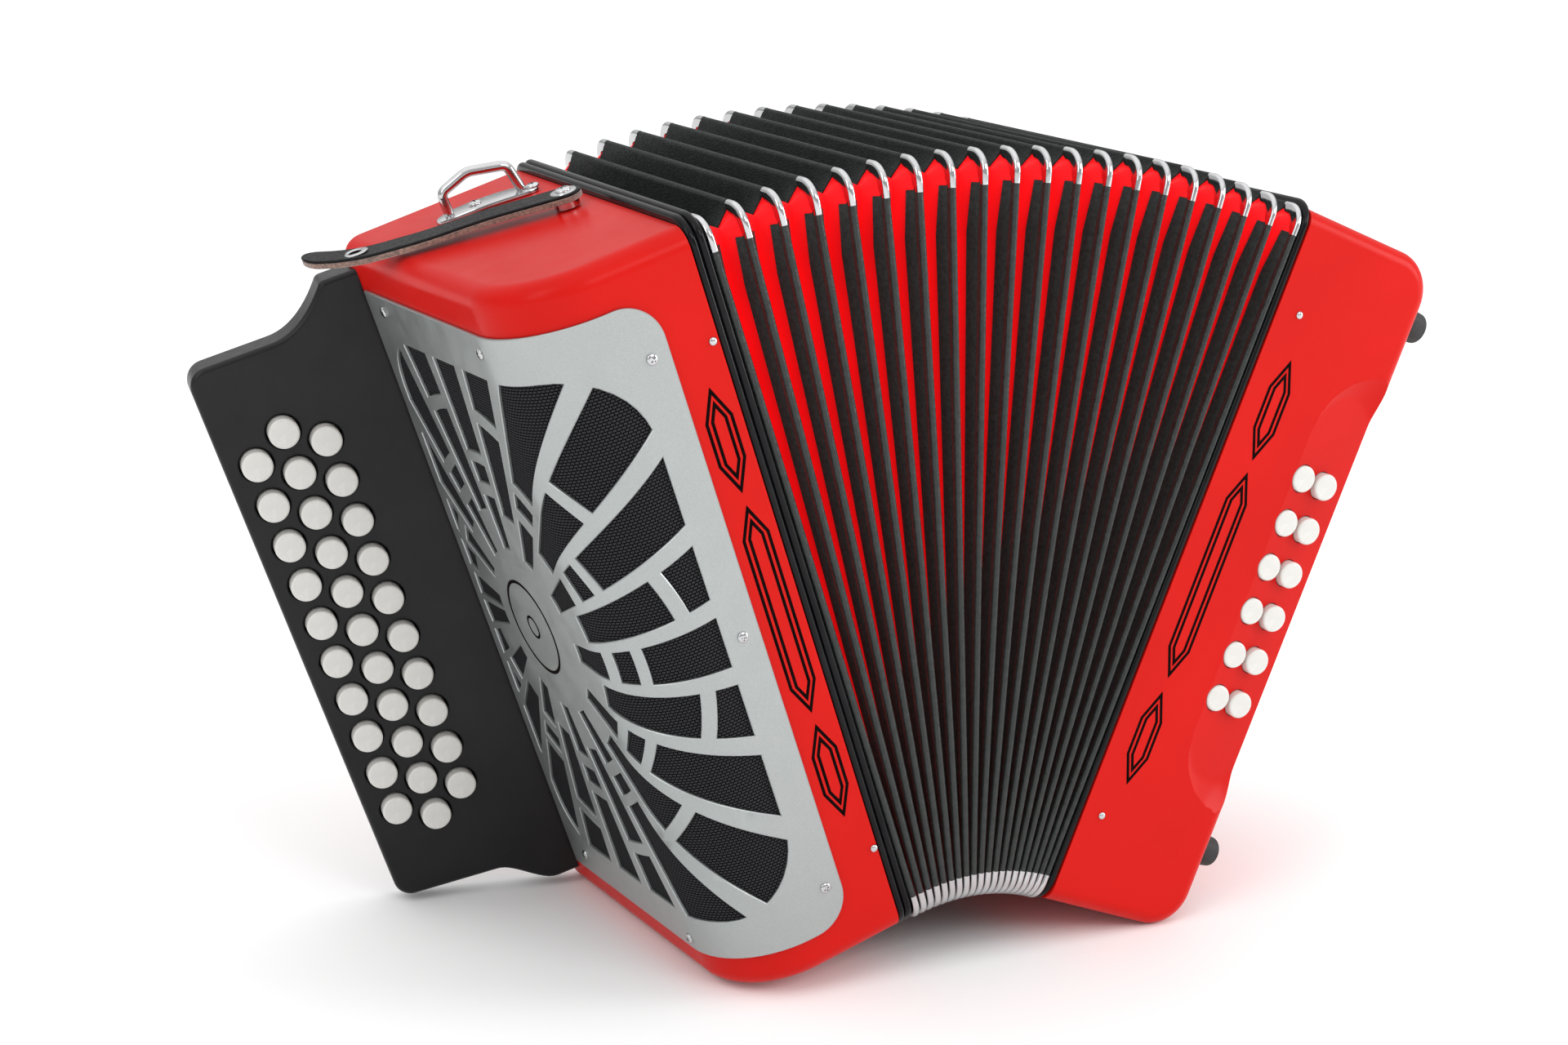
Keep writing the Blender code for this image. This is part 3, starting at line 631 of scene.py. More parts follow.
def piece(name, mesh, surface, body, rig=None, nodes=(), sharp=38.0, even_normals=False,
          shared=False):
    """One shown object that rides on a body. Its mesh is in its rig's coordinates at first."""
    rig = rig or RIGS[body]
    made = shown(name, mesh, surface, sharp)
    if shared:
        made.matrix_world = rig
    else:
        mesh.transform(rig)
    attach(made, body)
    labelled(nodes)
    if even_normals:
        step = made.modifiers.new("even normals", "WEIGHTED_NORMAL")
        step.keep_sharp = True
        step.weight = 100
    return made


# ---------------------------------------------------------------- materials


class Surface:
    """A Principled material, varied by short calls. A source is a socket or a noise's settings."""

    def __init__(self, name, colour, roughness, metallic=0.0, coordinates="Object", **values):
        self.material = bpy.data.materials.new(name)
        self.material.use_nodes = True
        self.tree = self.material.node_tree
        self.shader = self.tree.nodes["Principled BSDF"]
        self.colour = colour
        self.roughness = roughness
        self.fill(self.shader, {"Base Color": (*colour, 1.0), "Roughness": roughness,
                                "Metallic": metallic, **values})
        self.place = self.node("ShaderNodeTexCoord").outputs[coordinates]

    def fill(self, node, values):
        for name, value in values.items():
            node.inputs[name.replace("_", " ")].default_value = value

    def node(self, kind, **values):
        made = self.tree.nodes.new(kind)
        self.fill(made, values)
        return made

    def link(self, source, target):
        self.tree.links.new(source, target)

    def noise(self, scale, detail=3.0, roughness=0.55, stretch=None):
        made = self.node("ShaderNodeTexNoise", Scale=scale, Detail=detail, Roughness=roughness)
        place = self.place
        if stretch:
            step = self.node("ShaderNodeMapping", Scale=stretch)
            self.link(place, step.inputs["Vector"])
            place = step.outputs["Vector"]
        self.link(place, made.inputs["Vector"])
        return made.outputs["Fac"]

    def feed(self, source, target):
        self.link(self.noise(*source) if isinstance(source, tuple) else source, target)

    def tint(self, source, first, second, low=0.3, high=0.7):
        """Colour from one to the other as the source goes from low to high."""
        ramp = self.node("ShaderNodeValToRGB")
        ends = ramp.color_ramp.elements
        for end, place, colour in zip(ends, (low, high), (first, second)):
            end.position = place
            end.color = (*colour, 1.0)
        self.feed(source, ramp.inputs["Fac"])
        self.link(ramp.outputs["Color"], self.shader.inputs["Base Color"])

    def dull(self, source, spread):
        """Roughness varied either side of its value."""
        step = self.node("ShaderNodeMapRange", From_Min=0.25, From_Max=0.75,
                         To_Min=self.roughness - spread, To_Max=self.roughness + spread)
        self.feed(source, step.inputs["Value"])
        self.link(step.outputs["Result"], self.shader.inputs["Roughness"])

    def bump(self, source, depth, strength=1.0):
        step = self.node("ShaderNodeBump", Strength=strength, Distance=depth)
        self.feed(source, step.inputs["Height"])
        before = self.shader.inputs["Normal"].links
        if before:
            self.link(before[0].from_socket, step.inputs["Normal"])
        self.link(step.outputs["Normal"], self.shader.inputs["Normal"])


def shades(colour, spread):
    """The colour a little darker and a little lighter."""
    return (
        tuple(value * (1 - spread) for value in colour),
        tuple(min(1.0, value * (1 + spread)) for value in colour),
    )


def red_lacquer():
    made = Surface("red_lacquer", (0.58, 0.009, 0.006), 0.32, Specular_IOR_Level=0.08,
                   Coat_Weight=0.04, Coat_Roughness=0.15)
    made.tint((14.0,), *shades(made.colour, 0.05))
    made.dull((60.0, 4.0), 0.05)
    made.bump((420.0, 2.0), 0.00002, 0.5)
    return made.material


def red_cloth():
    # The faint red emission is a painted glow: it brightens the cloth where the folds lie in shade.
    made = Surface("bellows_red_cloth_painted_glow", (0.96, 0.008, 0.012), 0.50, Specular_IOR_Level=0.10,
                   Emission_Strength=0.16, Emission_Color=(1.0, 0.012, 0.016, 1.0))
    made.tint((35.0, 4.0), *shades(made.colour, 0.10))
    made.dull((150.0,), 0.08)
    made.bump((2600.0, 2.0), 0.00006, 0.6)
    made.bump((220.0, 3.0), 0.00015, 0.5)
    return made.material


def satin_silver():
    made = Surface("grille_silver", (0.42, 0.44, 0.44), 0.42, 0.85)
    grain = made.noise(3200.0, 3.0, 0.7)
    made.tint(grain, (0.34, 0.365, 0.36), (0.49, 0.515, 0.51), 0.25, 0.75)
    made.dull((90.0, 4.0), 0.06)
    made.bump(grain, 0.00003, 0.5)
    return made.material


def knit_cloth():
    made = Surface("grille_cloth", (0.012, 0.012, 0.013), 0.85, coordinates="UV",
                   Specular_IOR_Level=0.05)
    loops = made.node("ShaderNodeTexBrick", Scale=1.0, Mortar_Size=0.00028, Mortar_Smooth=0.8,
                      Brick_Width=0.0018, Row_Height=0.0012)
    made.link(made.place, loops.inputs["Vector"])
    made.tint(loops.outputs["Fac"], (0.036, 0.036, 0.039), (0.001, 0.001, 0.001), 0.1, 0.9)
    made.bump((1500.0, 2.0), 0.0001, 0.4)
    made.bump(loops.outputs["Fac"], -0.0004)
    return made.material


def satin_black():
    made = Surface("fingerboard_black", (0.008, 0.008, 0.009), 0.33, Specular_IOR_Level=0.26)
    made.tint((40.0, 5.0), (0.006, 0.006, 0.007), (0.010, 0.010, 0.011))
    made.dull((300.0, 4.0), 0.05)
    made.bump((2200.0, 2.0), 0.00003, 0.5)
    return made.material


def gloss_black():
    made = Surface("frame_black", (0.006, 0.006, 0.007), 0.16, Specular_IOR_Level=0.12,
                   Coat_Weight=0.10, Coat_Roughness=0.05)
    made.tint((60.0, 4.0), (0.003, 0.003, 0.004), (0.008, 0.008, 0.009))
    made.dull((500.0, 4.0), 0.06)
    made.bump((320.0, 3.0), 0.00005, 0.4)
    return made.material


def ink_black():
    made = Surface("printed_black", (0.004, 0.002, 0.002), 0.45, Specular_IOR_Level=0.02)
    made.tint((400.0, 3.0), (0.003, 0.001, 0.001), (0.007, 0.003, 0.003))
    made.bump((900.0, 2.0), 0.00001, 0.4)
    return made.material


def button_white():
    made = Surface("button_white", (0.66, 0.65, 0.62), 0.26, Coat_Weight=0.25, Coat_Roughness=0.10,
                   Subsurface_Weight=0.06, Subsurface_Radius=(0.002, 0.002, 0.0015))
    made.tint((90.0, 4.0), (0.64, 0.63, 0.595), (0.69, 0.68, 0.65))
    made.dull((260.0, 4.0), 0.05)
    made.bump((700.0, 2.0), 0.00001, 0.4)
    return made.material


def chrome():
    made = Surface("chrome", (0.56, 0.56, 0.57), 0.10, 1.0)
    made.tint((120.0, 4.0), (0.52, 0.52, 0.53), (0.60, 0.60, 0.61))
    made.dull((500.0, 5.0), 0.05)
    made.bump((350.0, 3.0), 0.00001, 0.2)
    return made.material


def grained_leather(name, colour, roughness, cell, shine):
    made = Surface(name, colour, roughness, Specular_IOR_Level=shine)
    grain = made.node("ShaderNodeTexVoronoi", Scale=1 / cell)
    made.link(made.place, grain.inputs["Vector"])
    made.tint((0.25 / cell, 4.0), *shades(colour, 0.30))
    made.dull((0.6 / cell, 4.0), 0.10)
    made.bump((1.6 / cell, 3.0), cell * 0.10, 0.6)
    made.bump(grain.outputs["Distance"], cell * 0.22, 0.8)
    return made.material


def suede():
    made = Surface("strap_suede", (0.10, 0.06, 0.038), 0.95, Sheen_Weight=0.7, Sheen_Roughness=0.6)
    made.tint((900.0, 5.0, 0.7), (0.060, 0.030, 0.020), (0.38, 0.22, 0.16), 0.35, 0.65)
    made.bump((2400.0, 5.0, 0.8), 0.0004)
    return made.material


def rubber():
    made = Surface("foot_rubber", (0.030, 0.030, 0.031), 0.72)
    made.tint((200.0, 4.0), (0.022, 0.022, 0.023), (0.042, 0.042, 0.043))
    made.bump((1400.0, 3.0), 0.00006, 0.6)
    return made.material


def reed_wood():
    made = Surface("reed_wood", (0.42, 0.25, 0.12), 0.62)
    grain = made.noise(90.0, 6.0, 0.6, (1.0, 1.0, 0.06))
    made.tint(grain, (0.30, 0.165, 0.075), (0.52, 0.33, 0.17))
    made.bump(grain, 0.0002, 0.5)
    return made.material


def pale_floor():
    made = Surface("floor", (0.96, 0.96, 0.96), 0.75, Specular_IOR_Level=0.0)
    made.tint((3.0, 2.0), (0.955, 0.955, 0.955), (0.965, 0.965, 0.965))
    return made.material


SURFACES = {
    "red": red_lacquer(),
    "cloth_red_painted_glow": red_cloth(),
    "silver": satin_silver(),
    "knit": knit_cloth(),
    "board": satin_black(),
    "gloss": gloss_black(),
    "ink": ink_black(),
    "white": button_white(),
    "chrome": chrome(),
    "bead": grained_leather("bellows_bead_leather", (0.020, 0.024, 0.023), 0.34, 0.0006, 0.40),
    "flap": grained_leather("bellows_flap_leather", (0.015, 0.018, 0.017), 0.50, 0.0008, 0.12),
    "tape": grained_leather("bellows_tape", (0.030, 0.035, 0.034), 0.62, 0.0004, 0.10),
    "leather": grained_leather("strap_leather", (0.009, 0.009, 0.010), 0.40, 0.0011, 0.10),
    "suede": suede(),
    "rubber": rubber(),
    "wood": reed_wood(),
}


# ---------------------------------------------------------------- screws and buttons


def dome(radius, height, edge, steps):
    """(radius, distance) points of a low dome, from its rim up to its middle."""
    points = [(radius, 0.0), (radius, edge)]
    for angle in stops(0, 90, steps)[1:]:
        points.append((radius * cos(radians(angle)) + DOME_POLE,
                       edge + (height - edge) * sin(radians(angle))))
    return points


def cross_screw(name, radius, height):
    """A screw head with a cross recess that stands out along +Z."""
    head = turned(name, dome(radius, height, height * 0.25, 8), 32, UP)
    bars = []
    half = radius * CROSS_HALF
    reach = radius * CROSS_REACH
    for number, (a, b) in enumerate(((half, reach), (reach, half))):
        outline = [(-a, -b), (a, -b), (a, b), (-a, b)]
        bars.append(prism(f"{name}_bar_{number}", outline, height * CROSS_FLOOR, height * 2))
    return cut(head, bars)


def button_mesh(name, radius, length, crown, along=(0, 1, 0)):
    """A button with an eased rim and a face that is very slightly crowned."""
    profile = [(POLE, -crown)]
    for share in stops(0, 1, 5)[1:-1]:
        profile.append(((radius - BUTTON_RIM) * share, -crown * (1 - share * share)))
    profile += [(radius - inset, drop) for inset, drop in quarter(BUTTON_RIM, 6)]
    profile.append((radius, length))
    return turned(name, profile, 48, along)


def button_column(x, count, middle, pitch):
    """The spots of one column of buttons, from the top."""
    return [(x, middle + ((count - 1) / 2 - index) * pitch) for index in range(count)]


def add_buttons(side, rig, spots, face, mesh):
    for number, (x, z) in enumerate(spots, 1):
        node = f"{side}_button_{number:02d}"
        piece(f"{node}_face", mesh, "white", node, shifted(rig, x, face, z), [node], shared=True)


# ---------------------------------------------------------------- treble case


def treble_path(inset, start_x, steps):
    """The treble case seen from above, drawn in by the inset, from mouth to mouth."""
    points = [(start_x, -HALF_DEPTH + inset)]
    points += arc((BEND_X, BEND_Y), BEND_RADIUS - inset, 270, 180, steps)
    points += arc((SIDE_BACK_X + BACK_CORNER, HALF_DEPTH - BACK_CORNER), BACK_CORNER - inset,
                  180, 90, steps // 2)
    points.append((start_x, HALF_DEPTH - inset))
    return points


def skin_at(s):
    """(x, y, outward x, outward y) at a distance along the skin from the grille's front edge."""
    if s < SKIN_FLAT:
        return (GRILLE_FRONT_X - s, -HALF_DEPTH, 0.0, -1.0)
    if s < SKIN_BEND:
        angle = 3 * pi / 2 - (s - SKIN_FLAT) / BEND_RADIUS
        across, back = cos(angle), sin(angle)
        return (BEND_X + BEND_RADIUS * across, BEND_Y + BEND_RADIUS * back, across, back)
    run = s - SKIN_BEND
    return (SIDE_FRONT_X + run * SIDE_SLOPE, BEND_Y + run, -1.0, 0.0)


def on_skin(s, z, distance):
    x, y, across, back = skin_at(s)
    return (x + distance * across, y + distance * back, z)


def grille_window():
    """Cuts the case's wall away behind the grille."""
    line = stops(WINDOW_MARGIN, SKIN_BACK - WINDOW_MARGIN, 24)
    shape = Shape()
    rings = []
    for distance in (-2 * WALL, WALL):
        low = [on_skin(s, GRILLE_LOW + WINDOW_MARGIN, distance) for s in line]
        high = [on_skin(s, GRILLE_HIGH - WINDOW_MARGIN, distance) for s in reversed(line)]
        rings.append(shape.ring(low + high))
    shape.loft(rings)
    count = len(line)
    for ring in rings:
        shape.bridge(ring[:count], ring[count:][::-1], closed=False)
    return shape.mesh("grille_window")


def add_treble_case():
    shell = rolled_shell("treble_case_shell", lambda inset: treble_path(inset, TREBLE_MOUTH, 28),
                         CASE_FOOT, CASE_TOP, CASE_EDGE, "Z")
    inside = treble_path(WALL, TREBLE_MOUTH + OVERCUT, 12)
    cavity = prism("treble_cavity", inside, CASE_FOOT + WALL, CASE_TOP - WALL)
    mesh = cut(shell, [cavity, grille_window()])
    piece("treble_case_shell", mesh, "red", "treble", nodes=["treble_case"], even_normals=True)


# ---------------------------------------------------------------- grille


def clipped(polygon, field):
    """The part of a polygon inside a convex one that runs anticlockwise."""
    for a, b in zip(field, field[1:] + field[:1]):
        kept = []
        for p, q in zip(polygon, polygon[1:] + polygon[:1]):
            side_p = (b[0] - a[0]) * (p[1] - a[1]) - (b[1] - a[1]) * (p[0] - a[0])
            side_q = (b[0] - a[0]) * (q[1] - a[1]) - (b[1] - a[1]) * (q[0] - a[0])
            if side_p >= 0:
                kept.append(p)
            if side_p * side_q < 0:
                share = side_p / (side_p - side_q)
                kept.append((p[0] + share * (q[0] - p[0]), p[1] + share * (q[1] - p[1])))
        polygon = kept
        if len(polygon) < 3:
            return []
    return polygon


def slot_field():
    """The limits of the pierced area, which has round corners."""
    front, back, low, high = FIELD
    points = []
    for x, z, corner, start, steps in (
            (back - FIELD_BACK_CORNER, low + FIELD_BACK_CORNER, FIELD_BACK_CORNER, 270, 8),
            (back - FIELD_BACK_CORNER, high - FIELD_BACK_CORNER, FIELD_BACK_CORNER, 0, 8),
            (front + FIELD_CORNER, high - FIELD_CORNER, FIELD_CORNER, 90, 10),
            (front + FIELD_CORNER, low + FIELD_CORNER, FIELD_CORNER, 180, 10)):
        points += arc((x, z), corner, start, start + 90, steps)
    return points


def along_ray(angle, radius):
    """The point on a ray from the hub at a radius about the arcs' centre."""
    reach = HUB_SHIFT * cos(angle) + sqrt(radius ** 2 - (HUB_SHIFT * sin(angle)) ** 2)
    return (HUB[0] - reach * cos(angle), HUB[1] + reach * sin(angle))


def grille_slots():
    """Closed outlines of a sunburst of slots, in distances along the skin and heights."""
    field = slot_field()
    slots = []
    for ray in range(-(RAY_COUNT // 2), RAY_COUNT // 2 + 1):
        middle = ray * 2 * pi / RAY_COUNT
        for near, far in EVEN_SLOTS if ray % 2 == 0 else ODD_SLOTS:
            angles = [middle + RAY_HALF * (step / 3 - 1) for step in range(7)]
            outline = [along_ray(angle, near) for angle in angles]
            outline += [along_ray(angle, far) for angle in reversed(angles)]
            outline = clipped(outline, field)
            if len(outline) > 2 and abs(signed_area(outline)) > LEAST_SLOT:
                slots.append(tidy_outline(outline))
    return slots


def tidy_outline(outline):
    """Drops points that lie too close together, then divides the long sides."""
    kept = []
    for point in outline:
        if not kept or dist(point, kept[-1]) > LEAST_SIDE:
            kept.append(point)
    if dist(kept[0], kept[-1]) < LEAST_SIDE:
        kept.pop()
    return even(kept, SLOT_SIDE)


def grille_outline():
    corner = GRILLE_CORNER
    points = [(SKIN_BACK, GRILLE_LOW), (SKIN_BACK, GRILLE_HIGH)]
    points += arc((corner, GRILLE_HIGH - corner), corner, 90, 180, 14)
    points += arc((corner, GRILLE_LOW + corner), corner, 180, 270, 14)
    return even(points, GRILLE_SIDE)


def add_grille_plate():
    outline = grille_outline()
    slots = grille_slots()
    eased = [offset(outline, -GRILLE_EASE)] + [offset(slot, GRILLE_EASE) for slot in slots]
    points, triangles, loops = pierced(eased[0], eased[1:], GRILLE_MESH)
    true_place = {}
    for loop, edge in zip(loops, [outline] + slots):
        for index, point in zip(loop, edge):
            true_place[index] = point
    shape = Shape()
    outer = GAP + GRILLE_THICK
    face = shape.ring([on_skin(s, z, outer) for s, z in points])
    back = shape.ring([on_skin(*true_place.get(index, point), GAP)
                       for index, point in enumerate(points)])
    for a, b, c in triangles:
        shape.faces.append((face[a], face[b], face[c]))
        shape.faces.append((back[c], back[b], back[a]))
    for loop in loops:
        lip = shape.ring([on_skin(*true_place[index], outer - GRILLE_EASE) for index in loop])
        shape.loft([[face[index] for index in loop], lip, [back[index] for index in loop]])
    mesh = drop_loose(shape.mesh("grille_plate"))
    piece("grille_plate", mesh, "silver", "treble", nodes=["treble_grille"], sharp=30.0)


def add_grille_screws():
    head = cross_screw("grille_screw", *GRILLE_SCREW)
    for number, (s, z) in enumerate(GRILLE_SCREWS, 1):
        outward = Vector((*skin_at(s)[2:], 0.0))
        turn = UP.rotation_difference(outward).to_matrix().to_4x4()
        spin = Matrix.Rotation(radians(GRILLE_SPIN * number), 4, "Z")
        spot = Matrix.Translation(on_skin(s, z, GAP + GRILLE_THICK))
        piece(f"grille_screw_{number}", head.copy(), "chrome", "treble",
              TREBLE @ spot @ turn @ spin)


def add_grille_cloth():
    """Knit cloth held between the case and the grille."""
    low = GRILLE_LOW + CLOTH_MARGIN
    high = GRILLE_HIGH - CLOTH_MARGIN
    line = stops(CLOTH_MARGIN, CLOTH_BACK, 60)
    shape = Shape()
    flats = []
    layers = []
    for distance in CLOTH_FACES:
        rows = []
        for z in (low, high):
            rows.append(shape.ring([on_skin(s, z, distance) for s in line]))
            flats += [(s, z) for s in line]
        shape.bridge(rows[0], rows[1], closed=False)
        layers.append(rows[0] + rows[1][::-1])
    shape.bridge(layers[0], layers[1])
    mesh = shape.mesh("grille_cloth")
    flat_map = mesh.uv_layers.new(name="flat")
    for loop in mesh.loops:
        flat_map.data[loop.index].uv = flats[loop.vertex_index]
    cloth = piece("grille_cloth", mesh, "knit", "treble")


def add_hub():
    """Two plain printed rings on the grille, where the rays meet."""
    x, y, _, _ = skin_at(HUB[0])
    thick = INK_LEVELS[1] - INK_LEVELS[0]
    lean = Matrix.Rotation(-SIDE_SLOPE, 4, "Z")
    spot = Matrix.Translation((x - GAP - GRILLE_THICK - INK_LEVELS[0], y, HUB[1]))
    for number, (inner, outer) in enumerate(HUB_RINGS, 1):
        profile = [(inner, 0.0), (outer, 0.0), (outer, thick), (inner, thick)]
        mesh = turned(f"hub_ring_{number}", profile, 96, (-1, 0, 0), closed=True)
        piece(f"hub_ring_{number}", mesh, "ink", "treble", TREBLE @ spot @ lean)


# ---------------------------------------------------------------- fingerboard


def board_outline():
    """Its upper neck ends in a round shoulder, and its lower one in an easy curve."""
    centre = (SHOULDER - SHOULDER_REACH, NECK_HIGH - SHOULDER)
    upper = [(-GAP, NECK_HIGH)] + arc(centre, SHOULDER, 90, 150, 6)
    lower = [(-GAP, NECK_LOW), (-NECK_REACH, NECK_LOW)]
    start_x, start_z = upper[-1]
    for share in stops(0, 1, 12)[1:]:
        upper.append((start_x - NECK_CURVE * share,
                      start_z + (1 - (1 - share) ** 2) * (BOARD_HIGH - start_z)))
        lower.append((-NECK_REACH - NECK_CURVE * share,
                      NECK_LOW + ease(share) * (BOARD_LOW - NECK_LOW)))
    turn = -BOARD_REACH + BOARD_CORNER
    upper += arc((turn, BOARD_HIGH - BOARD_CORNER), BOARD_CORNER, 90, 180, 10)
    lower += arc((turn, BOARD_LOW + BOARD_RAKE + BOARD_CORNER), BOARD_CORNER, 270, 180, 10)
    return even(upper + lower[::-1], BOARD_SIDE)


def treble_button_spots():
    spots = []
    for row, count in enumerate(ROW_COUNTS):
        spots += button_column((row - 1) * ROW_SPACING - MIDDLE_ROW_REACH, count, BUTTON_MIDDLE,
                               BUTTON_PITCH)
    return spots


def board_inset(outline, inset):
    """The outline drawn in, except along the root, which meets the case."""
    drawn = []
    for (x, _), (new_x, new_z) in zip(outline, offset(outline, -inset)):
        drawn.append((x if x > -2 * GAP else new_x, new_z))
    return drawn


def add_fingerboard():
    spots = treble_button_spots()
    outline = board_outline()
    holes = [circle(spot, HOLE_RADIUS, CIRCLE_SIDES) for spot in spots]
    wide = [circle(spot, HOLE_RADIUS + HOLE_CHAMFER, CIRCLE_SIDES) for spot in spots]
    points, triangles, loops = pierced(board_inset(outline, BOARD_EASE), wide, BOARD_MESH)
    shape = Shape()
    face = shape.ring([(x, 0.0, z) for x, z in points])
    for a, b, c in triangles:
        shape.faces.append((face[a], face[b], face[c]))
    sides = [[face[index] for index in loops[0]]]
    for inset, level in rolled_levels(0.0, BOARD_THICK, BOARD_EASE, 6)[1:]:
        sides.append(shape.ring([(x, level, z) for x, z in board_inset(outline, inset)]))
    shape.loft(sides)
    shape.cap(sides[-1])
    for loop, hole in zip(loops[1:], holes):
        walls = [[face[index] for index in loop]]
        for depth in (HOLE_CHAMFER, HOLE_DEPTH):
            walls.append(shape.ring([(x, depth, z) for x, z in hole]))
        shape.loft(walls)
        shape.cap(walls[-1])
    mesh = drop_loose(shape.mesh("fingerboard_body"))
    piece("fingerboard_body", mesh, "board", "treble", BOARD, ["fingerboard"], even_normals=True)


def add_treble_buttons():
    button = button_mesh("treble_button_face", BUTTON_RADIUS, BUTTON_LENGTH, BUTTON_CROWN)
    add_buttons("treble", BOARD, treble_button_spots(), -BUTTON_PROUD, button)


# ---------------------------------------------------------------- end frames


def rounded_rectangle(height, inset, corner, steps, pieces=1):
    """(y, z) points of a frame's outline, drawn in by the inset."""
    corner = max(corner, CORNER_LEAST)
    half = HALF_DEPTH - inset - corner
    low = inset + corner
    high = height - inset - corner
    corners = ((half, high, 0), (-half, high, 90), (-half, low, 180), (half, low, 270))
    bends = [arc((y, z), corner, start, start + 90, steps) for y, z, start in corners]
    points = []
    for bend, after in zip(bends, bends[1:] + bends[:1]):
        points += bend
        for piece in range(1, pieces):
            share = piece / pieces
            points.append((bend[-1][0] + share * (after[0][0] - bend[-1][0]),
                           bend[-1][1] + share * (after[0][1] - bend[-1][1])))
    return points


def beaded_profile(start, end, beads):
    """A closed (x, inset) section whose outer side is a row of rounded beads."""
    width = (end - start) / beads
    points = [(start, END_FRAME_GROOVE)]
    for bead in range(beads):
        left = start + bead * width
        for angle in stops(180, 0, 10)[1:-1]:
            x = left + width / 2 * (1 + cos(radians(angle)) * END_FRAME_BEAD)
            points.append((x, END_FRAME_GROOVE * (1 - sin(radians(angle)))))
        points.append((left + width, END_FRAME_GROOVE))
    return points + [(end, END_FRAME_RIM), (start, END_FRAME_RIM)]


def add_end_frame(side, span, beads):
    name = f"{side}_end_frame"
    shape = Shape()
    rings = []
    for x, inset in beaded_profile(*span, beads):
        outline = rounded_rectangle(FRAME_HEIGHT, inset, END_FRAME_CORNER - inset, 10)
        rings.append(shape.ring([(x, y, z) for y, z in outline]))
    shape.loft(rings, looped=True)
    piece(name, shape.mesh(name), "gloss", side, nodes=[f"{side}_bellows_frame"])


def add_pins():
    head = turned("frame_pin", dome(*PIN_HEAD, 6), 24, (0, -1, 0))
    for number, (body, x, z) in enumerate(PINS, 1):
        for side, y, facing in (("front", -HALF_DEPTH, 0.0), ("back", HALF_DEPTH, pi)):
            rig = shifted(RIGS[body], x, y, z) @ Matrix.Rotation(facing, 4, "Z")
            piece(f"frame_pin_{side}_{number}", head, "chrome", body, rig, shared=True)


# ---------------------------------------------------------------- bellows


def fan_poses():
    """(x, z, lean) of the lower edge of each bellows frame, from treble to bass."""
    poses = []
    x, z = TREBLE.translation.x, TREBLE.translation.z
    for index in range(FRAME_COUNT):
        share = index / (FRAME_COUNT - 1)
        lean = TREBLE_LEAN + (BASS_LEAN - TREBLE_LEAN) * share + FAN_BULGE * share * (1 - share)
        if poses:
            middle = (poses[-1][2] + lean) / 2
            pitch = fold_pitch(index - 0.5)
            x += pitch * cos(middle)
            z -= pitch * sin(middle)
        poses.append((x, z, lean))
    return poses


def fold_pitch(along):
    return FOLD_PITCH * (1 + PITCH_FALL * (0.5 - along / (FRAME_COUNT - 1)))


POSES = fan_poses()
MIDDLE_LEAN = (TREBLE_LEAN + BASS_LEAN) / 2
HALVES = ("near", "far")            # the treble's half of the bellows and the bass's


def pose_at(along):
    """The pose at a whole or part number of frames from the treble."""
    first = min(int(along), FRAME_COUNT - 2)
    share = along - first
    return [a + share * (b - a) for a, b in zip(POSES[first], POSES[first + 1])]


def middle_along():
    """Where the fan is half-way round."""
    index = sum(pose[2] <= MIDDLE_LEAN for pose in POSES) - 1
    first, second = POSES[index][2], POSES[index + 1][2]
    return index + (MIDDLE_LEAN - first) / (second - first)


MIDDLE_ALONG = middle_along()


def follow(lean, half):
    """How far this lean lies between the two bodies of one half of the bellows."""
    if half == 0:
        return (lean - TREBLE_LEAN) / (MIDDLE_LEAN - TREBLE_LEAN)
    return (lean - MIDDLE_LEAN) / (BASS_LEAN - MIDDLE_LEAN)


def fan_point(pose, across, y, up):
    """A point of a bellows frame: across its thickness, along the depth and up its height."""
    x, z, lean = pose
    return (
        x + across * cos(lean) + up * sin(lean),
        TREBLE.translation.y + y,
        z - across * sin(lean) + up * cos(lean),
    )


def bend(name, shape, surface, half, nodes=()):
    """A piece of one half of the bellows, baked in place where it stands."""
    name = f"{name}_{HALVES[half]}"
    made = shown(name, shape.mesh(name), surface, 35.0)
    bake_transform(made)
    labelled(nodes)


def frames_of(half):
    return [index for index in range(FRAME_COUNT)
            if (POSES[index][2] <= MIDDLE_LEAN) == (half == 0)]


def fold_depth(along):
    """0 at a crest and 1 at a valley."""
    return 1 - abs(2 * (along - int(along)) - 1)


def cloth_inset(depth, from_corner):
    """How far in the cloth lies, with shallower valleys and deeper crests at the corners."""
    share = max(0.0, 1 - from_corner / GUSSET_REACH)
    valley = VALLEY_INSET + share * (GUSSET_INSET - VALLEY_INSET)
    bare = max(0.0, 1 - from_corner / (STRIP_START - BELLOWS_CORNER))
    crest = CREST_INSET + bare * (CAP_INSET - CREST_INSET)
    return crest + depth * (valley - crest)


def side_spots(side):
    """Distances along one side of a frame, and each one's distance from the nearer corner's bend."""
    length = BELLOWS_HEIGHT if side in ("front", "back") else 2 * HALF_DEPTH
    close = [STRIP_START + GUSSET_REACH * step / GUSSET_PIECES for step in range(GUSSET_PIECES)]
    first = STRIP_START + GUSSET_REACH
    even_spots = [first + (length - 2 * first) * step / SIDE_PIECES
                  for step in range(SIDE_PIECES + 1)]
    spots = close + even_spots + [length - spot for spot in reversed(close)]
    return [(spot, min(spot, length - spot) - BELLOWS_CORNER) for spot in spots]


def on_side(side, spot, inset):
    """(y, z) on one side of a frame, drawn in by the inset."""
    return {
        "front": (inset - HALF_DEPTH, spot),
        "back": (HALF_DEPTH - inset, spot),
        "top": (spot - HALF_DEPTH, BELLOWS_HEIGHT - inset),
        "bottom": (spot - HALF_DEPTH, inset),
    }[side]


